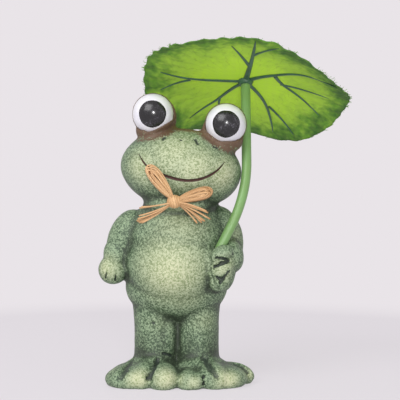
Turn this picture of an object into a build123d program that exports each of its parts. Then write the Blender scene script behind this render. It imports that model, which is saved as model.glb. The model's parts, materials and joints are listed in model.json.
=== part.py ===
from build123d import *
import math
import os

os.makedirs("parts", exist_ok=True)

# A standing frog of slip-cast earthenware holds an artificial leaf on a stem over its head.
# Lengths are in millimetres and turns in degrees. The sole lies on the XY plane, the figure faces -Y,
# and the origin is on the floor midway between its legs. "Right" and "left" are the frog's own sides.

# Legs and feet
LEG_HEIGHT = 40.0
LEG_WIDTH = 22.8
LEG_DEPTH = 26.0
LEG_SPACING = 21.6
FOOT_LENGTH = 31.0
TOE_LENGTH = 27.0
TOE_WIDTH = 15.5
TOE_HEIGHT = 16.0

# Trunk and head
BELLY_WIDTH = 53.0
BELLY_DEPTH = 46.0
BELLY_HEIGHT = 50.0
BELLY_LEAD = 3.5
CHEST_WIDTH = 48.0
CHEST_DEPTH = 34.0
CHEST_HEIGHT = 35.0
NECK_WIDTH = 37.0
NECK_HEIGHT = 16.0
HEAD_WIDTH = 62.4
HEAD_DEPTH = 50.0
HEAD_HEIGHT = 42.0
HEAD_ROLL = 6

# Arms
ARM_WIDTH = 19.0
ARM_LENGTH = 31.0
FIST_SIZE = 15.6
HAND_WIDTH = 14.5
HAND_DEPTH = 15.0
HAND_HEIGHT = 24.5
FINGER_WIDTH = 9.0

# Eyes
EYE_DIAMETER = 20.8
HOOD_LIP = 0.5
PUPIL_DIAMETER = 13.8
PUPIL_THICKNESS = 0.6
CEMENT_LINE = 0.05

# Casting wall and the drain holes in the soles
WALL = 4.5
DRAIN_DIAMETER = 8.0

# Stem, its hole in the hand and its wire
STEM_DIAMETER = 5.0
STEM_RISE = 83.4
STEM_BEND_RISE = 27.0
STEM_BEND_RADIUS = 70.0
STEM_PLAY = 0.3
SOCKET_DEPTH = 11.0
WIRE_DIAMETER = 2.2
WIRE_PLAY = 0.02
CHEEK_GAP = 0.6

# Leaf, its ribs and the pin that holds it on the stem
LEAF_RADIUS = 53.9
BLADE_THICKNESS = 0.5
RIB_THICKNESS = 1.0
RIB_WIDTH = 2.6
HUB_DIAMETER = 8.0
HUB_HEIGHT = 2.4
HUB_PLAY = 0.1
PIN_DIAMETER = 2.1
PIN_PLAY = 0.05
PIN_LENGTH = 9.0
PIN_HEAD_DIAMETER = 6.0
PIN_HEAD_HEIGHT = 1.6

# Raffia bow
RAFFIA_WIDTH = 1.0
RAFFIA_THICKNESS = 0.55
STRAND_PITCH = 0.85
LOOP_LENGTH = 22.5
LOOP_WIDTH = 7.6
TAIL_LENGTH = 21.0
KNOT_WIDTH = 7.6
KNOT_HEIGHT = 7.0
KNOT_WRAP = 1.1
BOW_GAP = 0.4
GLUE_DIAMETER = 5.2

# How far a cut runs past the surface that it opens
OVERRUN = 6.0


def beside(mass, shares):
    """The point that lies the given shares of a mass's half sizes from its middle."""
    centre, size, turn = mass
    return tuple(middle + side / 2 * share for middle, side, share in zip(centre, size, shares))


def shrunk(mass, wall):
    """The hollow that leaves the given wall inside a mass."""
    centre, size, turn = mass
    return centre, tuple(side - 2 * wall for side in size), turn


def add_mass(mass, mode=Mode.ADD):
    """Adds a rounded mass, an ellipsoid given by its middle, its overall sizes and its turn."""
    centre, size, turn = mass
    ball = scale(Sphere(1, mode=Mode.PRIVATE), by=tuple(side / 2 for side in size), mode=Mode.PRIVATE)
    add(Location(centre, turn) * ball, mode=mode)


def save(piece, name):
    """Labels a finished piece and writes its STEP file."""
    piece.part.label = name
    export_step(piece.part, f"parts/{name}.step")


# Trunk: the masses stand on one another from the legs up
upright = (0, 0, 0)
belly = ((0, -BELLY_LEAD, LEG_HEIGHT + 0.44 * BELLY_HEIGHT), (BELLY_WIDTH, BELLY_DEPTH, BELLY_HEIGHT), upright)
hip_size_share = (1.0, 0.84, 0.72)
hip_size = tuple(side * share for side, share in zip(belly[1], hip_size_share))
hip = (beside(belly, (0, 0.1, -0.5)), hip_size, upright)
chest = (beside(belly, (0.03, 0.1, 0.72)), (CHEST_WIDTH, CHEST_DEPTH, CHEST_HEIGHT), upright)
throat_depth_share = 0.8
neck_size = (NECK_WIDTH, throat_depth_share * HEAD_DEPTH, NECK_HEIGHT)
neck = (beside(chest, (0.03, -0.06, 0.75)), neck_size, upright)
neck_x, neck_y, neck_z = neck[0]
head_rise_share = 0.81
head_centre = (neck_x + 0.03 * HEAD_WIDTH / 2, neck_y, neck_z + head_rise_share * HEAD_HEIGHT / 2)
head = (head_centre, (HEAD_WIDTH, HEAD_DEPTH, HEAD_HEIGHT), (0, HEAD_ROLL, 0))

# Eyes: the ball shows in front of a hood of its own width and a lip
eye_place_shares = {"right": (-0.458, -0.24, 1.348), "left": (0.737, -0.24, 1.105)}
eye_centre = {side: beside(head, shares) for side, shares in eye_place_shares.items()}
HOOD_SET_BACK_SHARE = 0.17
hood_diameter = EYE_DIAMETER + 2 * HOOD_LIP


def eyeball_mass(side):
    """The ball that fills an eye socket."""
    return eye_centre[side], (EYE_DIAMETER, EYE_DIAMETER, EYE_DIAMETER), upright


def eye_masses(side):
    """The round hood behind an eyeball and the swelling that carries it on the head."""
    x, y, z = eye_centre[side]
    hood_y = y + HOOD_SET_BACK_SHARE * EYE_DIAMETER
    hood = ((x, hood_y, z), (hood_diameter, hood_diameter, hood_diameter), upright)
    brow_centre = (x, y + 0.1 * EYE_DIAMETER, z - 0.4 * EYE_DIAMETER)
    brow = (brow_centre, (0.86 * EYE_DIAMETER, 0.82 * EYE_DIAMETER, 0.67 * EYE_DIAMETER), upright)
    return hood, brow


# Arms: the right one hangs with a closed fist, the left one bends so that its hand holds the stem
arm_size = (ARM_WIDTH, 0.98 * ARM_WIDTH, ARM_LENGTH)
right_arm = (beside(belly, (-0.98, 0.09, 0.5)), arm_size, (0, 22, 0))
right_fist = (beside(right_arm, (-0.7, -0.37, -1.04)), (0.98 * FIST_SIZE, FIST_SIZE, FIST_SIZE), upright)
left_arm = (beside(belly, (0.93, 0.11, 0.56)), (ARM_WIDTH, 0.92 * ARM_WIDTH, ARM_LENGTH), (0, -18, 0))
hand = (beside(belly, (0.88, -0.59, -0.07)), (HAND_WIDTH, HAND_DEPTH, HAND_HEIGHT), upright)
# The forearm's long axis, its last size, lies front to back
forearm_size = (0.9 * HAND_WIDTH, 0.7 * HAND_HEIGHT, 1.45 * HAND_DEPTH)
forearm = (beside(hand, (0.66, 0.8, 0.42)), forearm_size, (90, 0, 0))
finger_shares = (
    # the place in the hand and the width
    ((-0.1, -0.42, 0.58), 0.98),
    ((-0.05, -0.46, -0.05), 0.98),
    ((-0.14, -0.38, -0.56), 0.78),
)
fingers = []
for place_shares, width_share in finger_shares:
    finger_size = (width_share * HAND_WIDTH, 0.8 * HAND_DEPTH, FINGER_WIDTH)
    fingers.append((beside(hand, place_shares), finger_size, (0, -25, 0)))

# Feet: each toe is turned from straight ahead, and its tip reaches a share of the foot's length
toe_shares = {
    "right": ((-63, 0.86, 0.85), (-17, 0.98, 1.0), (10.6, 1.05, 1.12)),
    "left": ((-2, 1.0, 0.74), (21.6, 1.04, 1.15), (67.7, 1.02, 0.85)),
}
leg_x = {"right": -LEG_SPACING / 2, "left": LEG_SPACING / 2}
leg_section_shares = ((0, 1.14), (0.6, 0.98), (1.15, 1.12))


def foot_masses(side):
    """The three toes of a foot, its instep and its heel."""
    outward = math.copysign(1, leg_x[side])
    ankle_x = leg_x[side]
    masses = []
    for turn, reach_share, width_share in toe_shares[side]:
        middle = reach_share * FOOT_LENGTH - TOE_LENGTH / 2
        x = ankle_x + middle * math.sin(math.radians(turn))
        y = -middle * math.cos(math.radians(turn))
        height = min(width_share, 1) * TOE_HEIGHT
        masses.append(((x, y, 0.28 * height), (width_share * TOE_WIDTH, TOE_LENGTH, height), (0, 0, turn)))
    instep_centre = (ankle_x + outward * 0.11 * LEG_WIDTH, -0.26 * FOOT_LENGTH, 0.31 * TOE_HEIGHT)
    masses.append((instep_centre, (1.32 * LEG_WIDTH, 0.9 * FOOT_LENGTH, 1.25 * TOE_HEIGHT), upright))
    heel_centre = (ankle_x, 0.16 * FOOT_LENGTH, 0.37 * TOE_HEIGHT)
    masses.append((heel_centre, (1.06 * LEG_WIDTH, 0.7 * FOOT_LENGTH, 1.25 * TOE_HEIGHT), upright))
    return masses


# Stem: a straight run out of the hand, one wide bend, and a straight run that passes the cheek and
# leans back to the middle of the leaf
stem_foot = Vector(*beside(hand, (-0.13, 0, 0.83)))
cheek_x = head_centre[0] + HEAD_WIDTH / 2
stem_corner = Vector(
    cheek_x + CHEEK_GAP + 0.4 * STEM_DIAMETER,
    stem_foot.Y + 0.215 * STEM_BEND_RISE,
    stem_foot.Z + STEM_BEND_RISE,
)
STEM_LEAN_SHARE = 0.47
upper_rise = STEM_RISE - STEM_BEND_RISE
stem_top = stem_corner + Vector(0, STEM_LEAN_SHARE * upper_rise, upper_rise)
lower_run = (stem_corner - stem_foot).normalized()
upper_run = (stem_top - stem_corner).normalized()
socket_floor = stem_foot - lower_run * SOCKET_DEPTH
stem_start = socket_floor + lower_run * STEM_PLAY
wire_top = stem_top - upper_run * (PIN_LENGTH + WIRE_DIAMETER)
hole_radius = STEM_DIAMETER / 2 + STEM_PLAY

with BuildPart() as body_casting:
    for mass in (belly, hip, chest, neck, head, right_arm, right_fist, forearm, left_arm, hand, *fingers):
        add_mass(mass)
    for side in ("right", "left"):
        for rise_share, width_share in leg_section_shares:
            with BuildSketch(Plane.XY.offset(rise_share * LEG_HEIGHT)):
                with Locations((leg_x[side], 0)):
                    Ellipse(width_share * LEG_WIDTH / 2, width_share * LEG_DEPTH / 2)
        loft()
        for mass in (*foot_masses(side), *eye_masses(side)):
            add_mass(mass)
    split(bisect_by=Plane.XY, keep=Keep.TOP)

    # Hollow of the casting, drained through the soles
    for mass in (belly, hip, chest, neck, head):
        add_mass(shrunk(mass, WALL), mode=Mode.SUBTRACT)
    for side in ("right", "left"):
        with BuildSketch(Plane.XY.offset(WALL)):
            with Locations((leg_x[side], 0)):
                Circle(LEG_WIDTH / 2 - 1.2 * WALL)
        extrude(amount=LEG_HEIGHT, mode=Mode.SUBTRACT)
        with BuildSketch(Plane.XY):
            with Locations((leg_x[side], 0)):
                Circle(DRAIN_DIAMETER / 2)
        extrude(amount=WALL, mode=Mode.SUBTRACT)

    # Sockets of the eyeballs
    for side in ("right", "left"):
        add_mass(shrunk(eyeball_mass(side), -CEMENT_LINE), mode=Mode.SUBTRACT)

    # Hole in the hand for the stem
    with BuildSketch(Plane(origin=socket_floor, z_dir=lower_run)):
        Circle(hole_radius)
    extrude(amount=SOCKET_DEPTH + OVERRUN, mode=Mode.SUBTRACT)
save(body_casting, "body_casting")

for side in ("right", "left"):
    with BuildPart() as eyeball:
        add_mass(eyeball_mass(side))
    save(eyeball, f"eyeball_{side}")

    with BuildPart() as pupil:
        with BuildSketch(Plane(origin=eye_centre[side], x_dir=(1, 0, 0), z_dir=(0, -1, 0))):
            Circle(PUPIL_DIAMETER / 2)
        extrude(amount=EYE_DIAMETER)
        add_mass(shrunk(eyeball_mass(side), -PUPIL_THICKNESS), mode=Mode.INTERSECT)
        add_mass(shrunk(eyeball_mass(side), -CEMENT_LINE), mode=Mode.SUBTRACT)
    save(pupil, f"pupil_{side}")

with BuildPart() as stem_tube:
    with BuildLine() as stem_line:
        FilletPolyline(stem_start, stem_corner, stem_top, radius=STEM_BEND_RADIUS)
    with BuildSketch(Plane(origin=stem_start, z_dir=lower_run)):
        Circle(STEM_DIAMETER / 2)
    sweep(path=stem_line.wire())
    with BuildSketch(Plane(origin=stem_start, z_dir=lower_run)):
        Circle(WIRE_DIAMETER / 2 + WIRE_PLAY)
    sweep(path=stem_line.wire(), mode=Mode.SUBTRACT)
save(stem_tube, "stem_tube")

with BuildPart() as stem_wire:
    with BuildLine() as wire_line:
        FilletPolyline(stem_start, stem_corner, wire_top, radius=STEM_BEND_RADIUS)
    with BuildSketch(Plane(origin=stem_start, z_dir=lower_run)):
        Circle(WIRE_DIAMETER / 2)
    sweep(path=wire_line.wire())
save(stem_wire, "stem_wire")

# Leaf: heights are measured along the stem's upper run from the hub's top, where the blade is flat
leaf_plane = Plane(origin=stem_top + upper_run * (HUB_PLAY + HUB_HEIGHT), x_dir=(1, 0, 0), z_dir=upper_run)
LEAF_DROOP_SHARE = -0.135
leaf_wave_shares = ((1, 0.142, -174), (2, 0.048, 115), (3, 0.030, -54), (4, 0.061, 43))
SCALLOPS = 38
SCALLOP_SHARE = 0.012
SURFACE_STEPS = 14


def leaf_height(x, y):
    """The height of the leaf's surface: a drooping dome with a few waves round its rim."""
    r_share = math.hypot(x, y) / LEAF_RADIUS
    around = math.atan2(y, x)
    height_share = LEAF_DROOP_SHARE * r_share ** 2
    for count, wave_share, start in leaf_wave_shares:
        height_share += wave_share * r_share ** max(count, 2) * math.cos(count * around - math.radians(start))
    return height_share * LEAF_RADIUS


def leaf_surface(drop):
    """The leaf's surface over a square that is wider than the leaf, lowered by a distance."""
    reach = LEAF_RADIUS * 1.06
    steps = [reach * (2 * i / SURFACE_STEPS - 1) for i in range(SURFACE_STEPS + 1)]
    grid = [[leaf_plane.from_local_coords(Vector(x, y, leaf_height(x, y) - drop)) for y in steps] for x in steps]
    return Face.make_surface_from_array_of_points(grid, min_deg=3, max_deg=3)


def rim_point(i, count):
    """One of the points round the scalloped rim."""
    around = 2 * math.pi * i / count
    radius = LEAF_RADIUS * (1 + SCALLOP_SHARE * math.cos(SCALLOPS * around))
    return radius * math.cos(around), radius * math.sin(around)


with BuildPart() as leaf_blade:
    extrude(leaf_surface(0), amount=BLADE_THICKNESS, dir=upper_run)
    with BuildSketch(leaf_plane.offset(-LEAF_RADIUS)):
        with BuildLine():
            Spline(*[rim_point(i, 4 * SCALLOPS) for i in range(4 * SCALLOPS)], periodic=True)
        make_face()
    extrude(amount=2 * LEAF_RADIUS, mode=Mode.INTERSECT)
    with BuildSketch(leaf_plane.offset(-BLADE_THICKNESS)):
        Circle(PIN_DIAMETER / 2)
    extrude(amount=3 * BLADE_THICKNESS, mode=Mode.SUBTRACT)
save(leaf_blade, "leaf_blade")

# Ribs under the blade: runs of points from the hub, in shares of the leaf's radius, with the shares of
# the rib's width at the first and the last point
vein_shares = (
    (((0, 0), (-0.25, -0.02), (-0.54, -0.03), (-0.78, -0.12)), 0.75, 0.3),
    (((-0.54, -0.03), (-0.66, 0), (-0.79, 0.09)), 0.45, 0.3),
    (((0, 0), (-0.12, 0.12), (-0.25, 0.34), (-0.36, 0.44), (-0.51, 0.58)), 0.75, 0.3),
    (((-0.25, 0.34), (-0.26, 0.5)), 0.45, 0.3),
    (((0, 0), (0.02, -0.2), (0.05, -0.49), (0.06, -0.9)), 1, 0.35),
    (((0.02, -0.36), (-0.04, -0.54), (-0.13, -0.74)), 0.6, 0.3),
    (((0.05, -0.6), (0.13, -0.75), (0.24, -0.87)), 0.5, 0.3),
    (((0, 0), (0.09, -0.09), (0.28, -0.17), (0.55, -0.44), (0.79, -0.42)), 1, 0.35),
    (((0.28, -0.17), (0.34, 0), (0.49, 0.11), (0.71, 0.36)), 0.7, 0.3),
    (((0.34, 0), (0.58, 0.01), (0.76, 0.04)), 0.5, 0.3),
    (((0, 0), (0.13, 0.22), (0.25, 0.45), (0.3, 0.79)), 0.75, 0.3),
    (((0.25, 0.45), (0.41, 0.64), (0.48, 0.73)), 0.45, 0.3),
)


def rib_sides(run_shares, start_share, end_share):
    """The points down one side of a rib and back up the other, narrower from point to point."""
    spots = [Vector(x * LEAF_RADIUS, y * LEAF_RADIUS) for x, y in run_shares]
    last = len(spots) - 1
    there_side, back_side = [], []
    for i, spot in enumerate(spots):
        along = (spots[min(i + 1, last)] - spots[max(i - 1, 0)]).normalized()
        width_share = start_share + (end_share - start_share) * i / last
        aside = along.rotate(Axis.Z, 90) * (width_share * RIB_WIDTH / 2)
        there_side.append(spot + aside)
        back_side.insert(0, spot - aside)
    return there_side + back_side


with BuildPart() as leaf_ribs:
    extrude(leaf_surface(RIB_THICKNESS), amount=RIB_THICKNESS, dir=upper_run)
    with BuildSketch(leaf_plane.offset(-LEAF_RADIUS)):
        Circle(HUB_DIAMETER / 2 + RIB_THICKNESS / 2)
        for run_shares, start_share, end_share in vein_shares:
            with BuildLine():
                Polyline(*rib_sides(run_shares, start_share, end_share), close=True)
            make_face()
    extrude(amount=2 * LEAF_RADIUS, mode=Mode.INTERSECT)
    with BuildSketch(leaf_plane.offset(-HUB_HEIGHT)):
        Circle(HUB_DIAMETER / 2)
    extrude(amount=HUB_HEIGHT - RIB_THICKNESS / 2)
    with BuildSketch(leaf_plane.offset(-HUB_HEIGHT)):
        Circle(PIN_DIAMETER / 2)
    extrude(amount=2 * HUB_HEIGHT, mode=Mode.SUBTRACT)
save(leaf_ribs, "leaf_ribs")

# The pin goes through the leaf and its hub into the top of the tube's bore
with BuildPart() as leaf_pin:
    with BuildSketch(leaf_plane.offset(BLADE_THICKNESS + PIN_PLAY)):
        Circle(PIN_HEAD_DIAMETER / 2)
    extrude(amount=PIN_HEAD_HEIGHT, taper=20)
    fillet(leaf_pin.faces().sort_by(Axis((0, 0, 0), upper_run))[-1].edges(), PIN_HEAD_HEIGHT / 3)
    with BuildSketch(leaf_plane.offset(BLADE_THICKNESS + PIN_PLAY)):
        Circle(PIN_DIAMETER / 2)
    extrude(amount=-(BLADE_THICKNESS + PIN_PLAY + HUB_HEIGHT + HUB_PLAY + PIN_LENGTH))
save(leaf_pin, "leaf_pin")

# Bow: each strand of raffia runs from its right tail through the knot into both loops and out to its
# left tail, flat in a layer of its own. Turns are measured from +X towards +Z
bow_back = head_centre[1] - HEAD_DEPTH / 2 - BOW_GAP
strand_shares = (
    # left loop: turn, length, width; right loop: turn, length, width; tails: turn, length, twice
    ((127, 1.00, 1.00), (16, 0.88, 0.95), (209, 1.00), (-44, 0.75)),
    ((125, 0.95, 0.80), (18, 0.84, 0.78), (207, 1.01), (-38, 0.82)),
    ((129, 0.97, 0.62), (14, 0.86, 0.60), (211, 0.97), (-33, 0.86)),
    ((124, 0.90, 0.46), (19, 0.80, 0.45), (205, 0.96), (-26, 0.94)),
    ((130, 0.93, 0.32), (13, 0.82, 0.32), (190, 0.84), (-18, 0.84)),
)
bow_depth = (len(strand_shares) - 1) * STRAND_PITCH + RAFFIA_THICKNESS
knot_centre = Vector(head_centre[0] - 0.095 * HEAD_WIDTH / 2, bow_back - bow_depth / 2, neck_z + 0.1 * NECK_HEIGHT)
knot_size = (KNOT_WIDTH, bow_depth + 2 * KNOT_WRAP, KNOT_HEIGHT)


def loop_band(turn, length, width):
    """A loop of a strand: the band between two drops, each two straight sides and a round end."""
    inner_length, inner_width = length - 2 * RAFFIA_WIDTH, width - 2 * RAFFIA_WIDTH
    drops = ((0, length, width, Mode.ADD), (RAFFIA_WIDTH, inner_length, inner_width, Mode.SUBTRACT))
    with BuildSketch(Plane.XY.rotated((0, 0, turn))) as band:
        for start, drop_length, drop_width, mode in drops:
            radius = drop_width / 2
            end_x = start + drop_length
            back = math.acos(radius / (drop_length - radius))
            touch = Vector(end_x - radius - radius * math.cos(back), radius * math.sin(back))
            with BuildLine():
                Line((start, 0), touch)
                ThreePointArc(touch, (end_x, 0), (touch.X, -touch.Y))
                Line((touch.X, -touch.Y), (start, 0))
            make_face(mode=mode)
    return band.sketch


def tail_band(turn, length):
    """A tail of a strand: a slightly arched band that starts inside the knot."""
    half = RAFFIA_WIDTH / 2
    arch = 0.04 * length
    with BuildSketch(Plane.XY.rotated((0, 0, turn))) as band:
        with BuildLine():
            ThreePointArc((0, half), (length / 2, half + arch), (length, half))
            Line((length, half), (length, -half))
            ThreePointArc((length, -half), (length / 2, -half + arch), (0, -half))
            Line((0, -half), (0, half))
        make_face()
    return band.sketch


narrowest_loop = 2.4 * RAFFIA_WIDTH
strands = []
for number, (left_loop, right_loop, left_tail, right_tail) in enumerate(strand_shares):
    layer_y = bow_back - number * STRAND_PITCH
    bands = []
    for turn, length_share, width_share in (left_loop, right_loop):
        loop_width = narrowest_loop + width_share * (LOOP_WIDTH - narrowest_loop)
        bands.append(loop_band(turn, length_share * LOOP_LENGTH, loop_width))
    for turn, length_share in (left_tail, right_tail):
        bands.append(tail_band(turn, length_share * TAIL_LENGTH))
    with BuildPart() as bow_strand:
        with BuildSketch(Plane(origin=(knot_centre.X, layer_y, knot_centre.Z), x_dir=(1, 0, 0), z_dir=(0, -1, 0))):
            Circle(RAFFIA_WIDTH)
            for band in bands:
                add(band)
        extrude(amount=RAFFIA_THICKNESS)
    strands.append(bow_strand.part)
    save(bow_strand, f"bow_strand_{number + 1}")

with BuildPart() as bow_knot:
    add_mass((tuple(knot_centre), knot_size, upright))
    for strand in strands:
        add(strand, mode=Mode.SUBTRACT)
save(bow_knot, "bow_knot")

# A drop of hot-melt glue fills the space between the knot and the throat
with BuildPart() as bow_glue:
    with BuildSketch(Plane(origin=knot_centre, x_dir=(1, 0, 0), z_dir=(0, 1, 0))):
        Circle(GLUE_DIAMETER / 2)
    extrude(amount=HEAD_DEPTH / 3)
    for mass in (head, neck, chest, (tuple(knot_centre), knot_size, upright)):
        add_mass(mass, mode=Mode.SUBTRACT)
    for strand in strands:
        add(strand, mode=Mode.SUBTRACT)
save(bow_glue, "bow_glue")
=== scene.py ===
import json
import math
import random

import bmesh
import bpy
import numpy as np
from mathutils import Matrix, Vector, noise
from mathutils.bvhtree import BVHTree


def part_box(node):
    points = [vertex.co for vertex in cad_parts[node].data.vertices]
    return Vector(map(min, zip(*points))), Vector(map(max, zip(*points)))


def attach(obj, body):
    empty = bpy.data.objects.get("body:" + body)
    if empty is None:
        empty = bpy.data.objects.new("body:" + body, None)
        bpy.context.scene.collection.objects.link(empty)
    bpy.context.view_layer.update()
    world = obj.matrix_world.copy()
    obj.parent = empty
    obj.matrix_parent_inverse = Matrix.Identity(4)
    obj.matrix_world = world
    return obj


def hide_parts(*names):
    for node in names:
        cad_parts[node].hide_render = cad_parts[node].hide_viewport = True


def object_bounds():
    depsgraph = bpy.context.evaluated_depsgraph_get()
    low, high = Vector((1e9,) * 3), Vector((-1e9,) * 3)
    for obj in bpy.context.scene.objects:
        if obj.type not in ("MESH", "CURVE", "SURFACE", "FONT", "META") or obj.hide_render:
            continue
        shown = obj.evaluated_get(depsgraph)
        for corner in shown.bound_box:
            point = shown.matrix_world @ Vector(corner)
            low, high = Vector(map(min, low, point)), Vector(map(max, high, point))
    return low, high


bl_info = {
    "name": "Earthenware frog with a leaf",
    "version": (1, 0, 0),
    "blender": (4, 5, 0),
    "location": "View3D > Sidebar > Frog",
    "description": "Dresses a slip-cast frog, its raffia bow and the fabric leaf that it holds over its head",
    "category": "Object",
}

# The figure faces -Y, +X is to the viewer's right, and right and left are the frog's own sides.
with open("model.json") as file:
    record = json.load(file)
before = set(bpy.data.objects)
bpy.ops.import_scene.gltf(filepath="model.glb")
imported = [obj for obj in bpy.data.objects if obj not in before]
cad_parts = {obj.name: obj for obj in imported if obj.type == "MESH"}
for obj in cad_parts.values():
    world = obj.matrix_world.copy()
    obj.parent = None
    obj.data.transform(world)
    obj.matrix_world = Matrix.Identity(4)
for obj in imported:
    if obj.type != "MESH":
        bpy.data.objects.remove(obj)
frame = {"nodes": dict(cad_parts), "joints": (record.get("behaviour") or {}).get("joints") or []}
CAD_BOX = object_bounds()
JOINTS = {joint["name"]: joint for joint in frame["joints"]}
MM = 0.001


def linear(hex_colour):
    """The linear colour of an sRGB hex value, with an alpha of 1."""
    channels = [int(hex_colour[i:i + 2], 16) / 255 for i in (0, 2, 4)]
    return (*[c / 12.92 if c <= 0.04045 else ((c + 0.055) / 1.055) ** 2.4 for c in channels], 1.0)


def middle_of(node):
    """The middle of a CAD node's box."""
    low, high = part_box(node)
    return (low + high) / 2


def size_of(node):
    """The sides of a CAD node's box."""
    low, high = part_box(node)
    return high - low


# Places that the pieces share, read from the frame
EYE_CENTRE = {side: middle_of(f"eyeball_{side}") for side in ("right", "left")}
EYE_RADIUS = size_of("eyeball_right").x / 2
PUPIL_RADIUS = size_of("pupil_right").x / 2
STEM_AXIS = Vector(JOINTS["stem_lift"]["axis"])
LEAF_AXIS = Vector(JOINTS["leaf_turn"]["axis"])
# The middle of the stem where it enters the hand
STEM_FOOT = Vector((22.38, -17.07, 70.42)) * MM
STEM_RADIUS = 2.5 * MM
KNOT_CENTRE = middle_of("bow_knot")
KNOT_SIZE = size_of("bow_knot")
# Vertices closer than this are one
MERGE_GAP = 0.001 * MM
# The pale glaze lies thicker and thinner in clouds of this size
GLAZE_CLOUD_SIZE = 11 * MM

# The leaf's own values, which repeat the model's: its scallops, its hub and the waves of its sheet
SCALLOPS = 38
SCALLOP_SHARE = 0.012
HUB_RISE = 2.5 * MM
HUB_RADIUS = 4.0 * MM
PIN_HOLE_RADIUS = 1.05 * MM
BLADE_THICKNESS = 0.5 * MM
LEAF_RADIUS = size_of("leaf_blade").x / 2 / (1 + SCALLOP_SHARE)
LEAF_ORIGIN = Vector(JOINTS["leaf_turn"]["pos_m"]) + LEAF_AXIS * HUB_RISE
LEAF_DROOP_SHARE = -0.135
# The back rim sags a little more behind the head: how far, where round the leaf and how wide
BACK_SAG_SHARE = 0.056
BACK_SAG_TURN = math.radians(128)
BACK_SAG_SPREAD = math.radians(26)
# Waves of the sheet: how many round the leaf, how high in shares of its radius, and where they start
LEAF_WAVE_SHARES = ((1, 0.142, -174), (2, 0.048, 115), (3, 0.030, -54), (4, 0.061, 43))
# Fine veins printed round the leaf
FINE_VEINS = 42


class FrogBodySettings(bpy.types.PropertyGroup):
    """Sizes and colours of the casting and its eyes"""

    voxel: bpy.props.FloatProperty(
        name="Skin detail", description="Size of the skin's faces before the details are cut",
        default=0.95 * MM, unit="LENGTH")
    lump: bpy.props.FloatProperty(
        name="Lump height", description="How far the hand-finished skin rises and falls",
        default=0.22 * MM, unit="LENGTH")
    mouth_width: bpy.props.FloatProperty(
        name="Mouth width", description="Width of the groove of the mouth", default=1.5 * MM, unit="LENGTH")
    mouth_depth: bpy.props.FloatProperty(
        name="Mouth depth", description="Depth of the groove of the mouth", default=0.75 * MM, unit="LENGTH")
    crackle: bpy.props.FloatProperty(
        name="Crackle size", description="Size of the cells of the broken glaze", default=0.9 * MM,
        unit="LENGTH")
    # More of the ground shows in the hollows, which also paints shade there
    ground: bpy.props.FloatVectorProperty(
        name="Ground glaze", description="Dark green that lies in the hollows", subtype="COLOR", size=4,
        default=linear("41573d"))
    glaze: bpy.props.FloatVectorProperty(
        name="Glaze", description="Grey green of the broken glaze", subtype="COLOR", size=4,
        default=linear("92a785"))
    # Where it is sprayed, this colour shows most on faces turned to the front or up, as painted light
    spray: bpy.props.FloatVectorProperty(
        name="Sprayed glaze", description="Yellow green on the high places", subtype="COLOR", size=4,
        default=linear("d0d3ac"))
    hood: bpy.props.FloatVectorProperty(
        name="Hood glaze", description="Brown round the eyes", subtype="COLOR", size=4,
        default=linear("513d2d"))
    mouth: bpy.props.FloatVectorProperty(
        name="Mouth glaze", description="Dark brown in the mouth", subtype="COLOR", size=4,
        default=linear("47261f"))
    white: bpy.props.FloatVectorProperty(
        name="Eye white", description="White glaze of the eyeballs", subtype="COLOR", size=4,
        default=linear("ecebee"))


class LeafSettings(bpy.types.PropertyGroup):
    """Sizes and colours of the leaf, its veins and its stem"""

    ruffle: bpy.props.FloatProperty(
        name="Ruffle height", description="Height of the small waves near the rim", default=0.8 * MM,
        unit="LENGTH")
    fray: bpy.props.FloatProperty(
        name="Fray length", description="Length of the loose threads at the rim", default=3.2 * MM,
        unit="LENGTH")
    vein_width: bpy.props.FloatProperty(
        name="Vein width", description="Width of the widest moulded vein", default=3.4 * MM, unit="LENGTH")
    bright: bpy.props.FloatVectorProperty(
        name="Bright green", description="Printed green of the middle of the leaf", subtype="COLOR", size=4,
        default=linear("d5fb4a"))
    deep: bpy.props.FloatVectorProperty(
        name="Deep green", description="Printed green of the rim", subtype="COLOR", size=4,
        default=linear("74ab36"))
    vein: bpy.props.FloatVectorProperty(
        name="Vein green", description="Blue green of the moulded veins", subtype="COLOR", size=4,
        default=linear("33573a"))
    stem: bpy.props.FloatVectorProperty(
        name="Stem green", description="Green of the moulded stem", subtype="COLOR", size=4,
        default=linear("7aa05e"))


class BowSettings(bpy.types.PropertyGroup):
    """Sizes and colours of the raffia bow"""

    strip_width: bpy.props.FloatProperty(
        name="Strip width", description="Width of a strip of raffia", default=0.8 * MM, unit="LENGTH")
    strip_thickness: bpy.props.FloatProperty(
        name="Strip thickness", description="Thickness of a strip of raffia", default=0.42 * MM,
        unit="LENGTH")
    pale: bpy.props.FloatVectorProperty(
        name="Pale raffia", description="Lit side of the strips", subtype="COLOR", size=4,
        default=linear("f6d6a6"))
    # This colour also paints the shade along the sides of the strips
    dark: bpy.props.FloatVectorProperty(
        name="Dark raffia", description="Lines between the fibres", subtype="COLOR", size=4,
        default=linear("8f5c33"))


class StageSettings(bpy.types.PropertyGroup):
    """Light, floor and backdrop"""

    key: bpy.props.FloatProperty(
        name="Key lamp", description="Power of the wide lamp above and to the left, in watts", default=10.0)
    front: bpy.props.FloatProperty(
        name="Front lamp", description="Power of the small lamp over the camera, in watts", default=3.4)
    surround: bpy.props.FloatProperty(
        name="Surround", description="Level of the light that comes from all round", default=0.42,
        subtype="FACTOR")
    backdrop: bpy.props.FloatVectorProperty(
        name="Backdrop", description="Colour that the camera sees behind the object", subtype="COLOR", size=4,
        default=linear("e9e4e8"))
    floor: bpy.props.FloatVectorProperty(
        name="Floor", description="Colour of the floor", subtype="COLOR", size=4, default=linear("e4dfe6"))


def set_inputs(tree, node, inputs):
    """Gives each input of a node its value, or links it where that is a socket or a node's first output."""
    for name, value in inputs.items():
        if isinstance(value, bpy.types.Node):
            value = value.outputs[0]
        if isinstance(value, bpy.types.NodeSocket):
            tree.links.new(value, node.inputs[name])
        else:
            node.inputs[name].default_value = value


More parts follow.
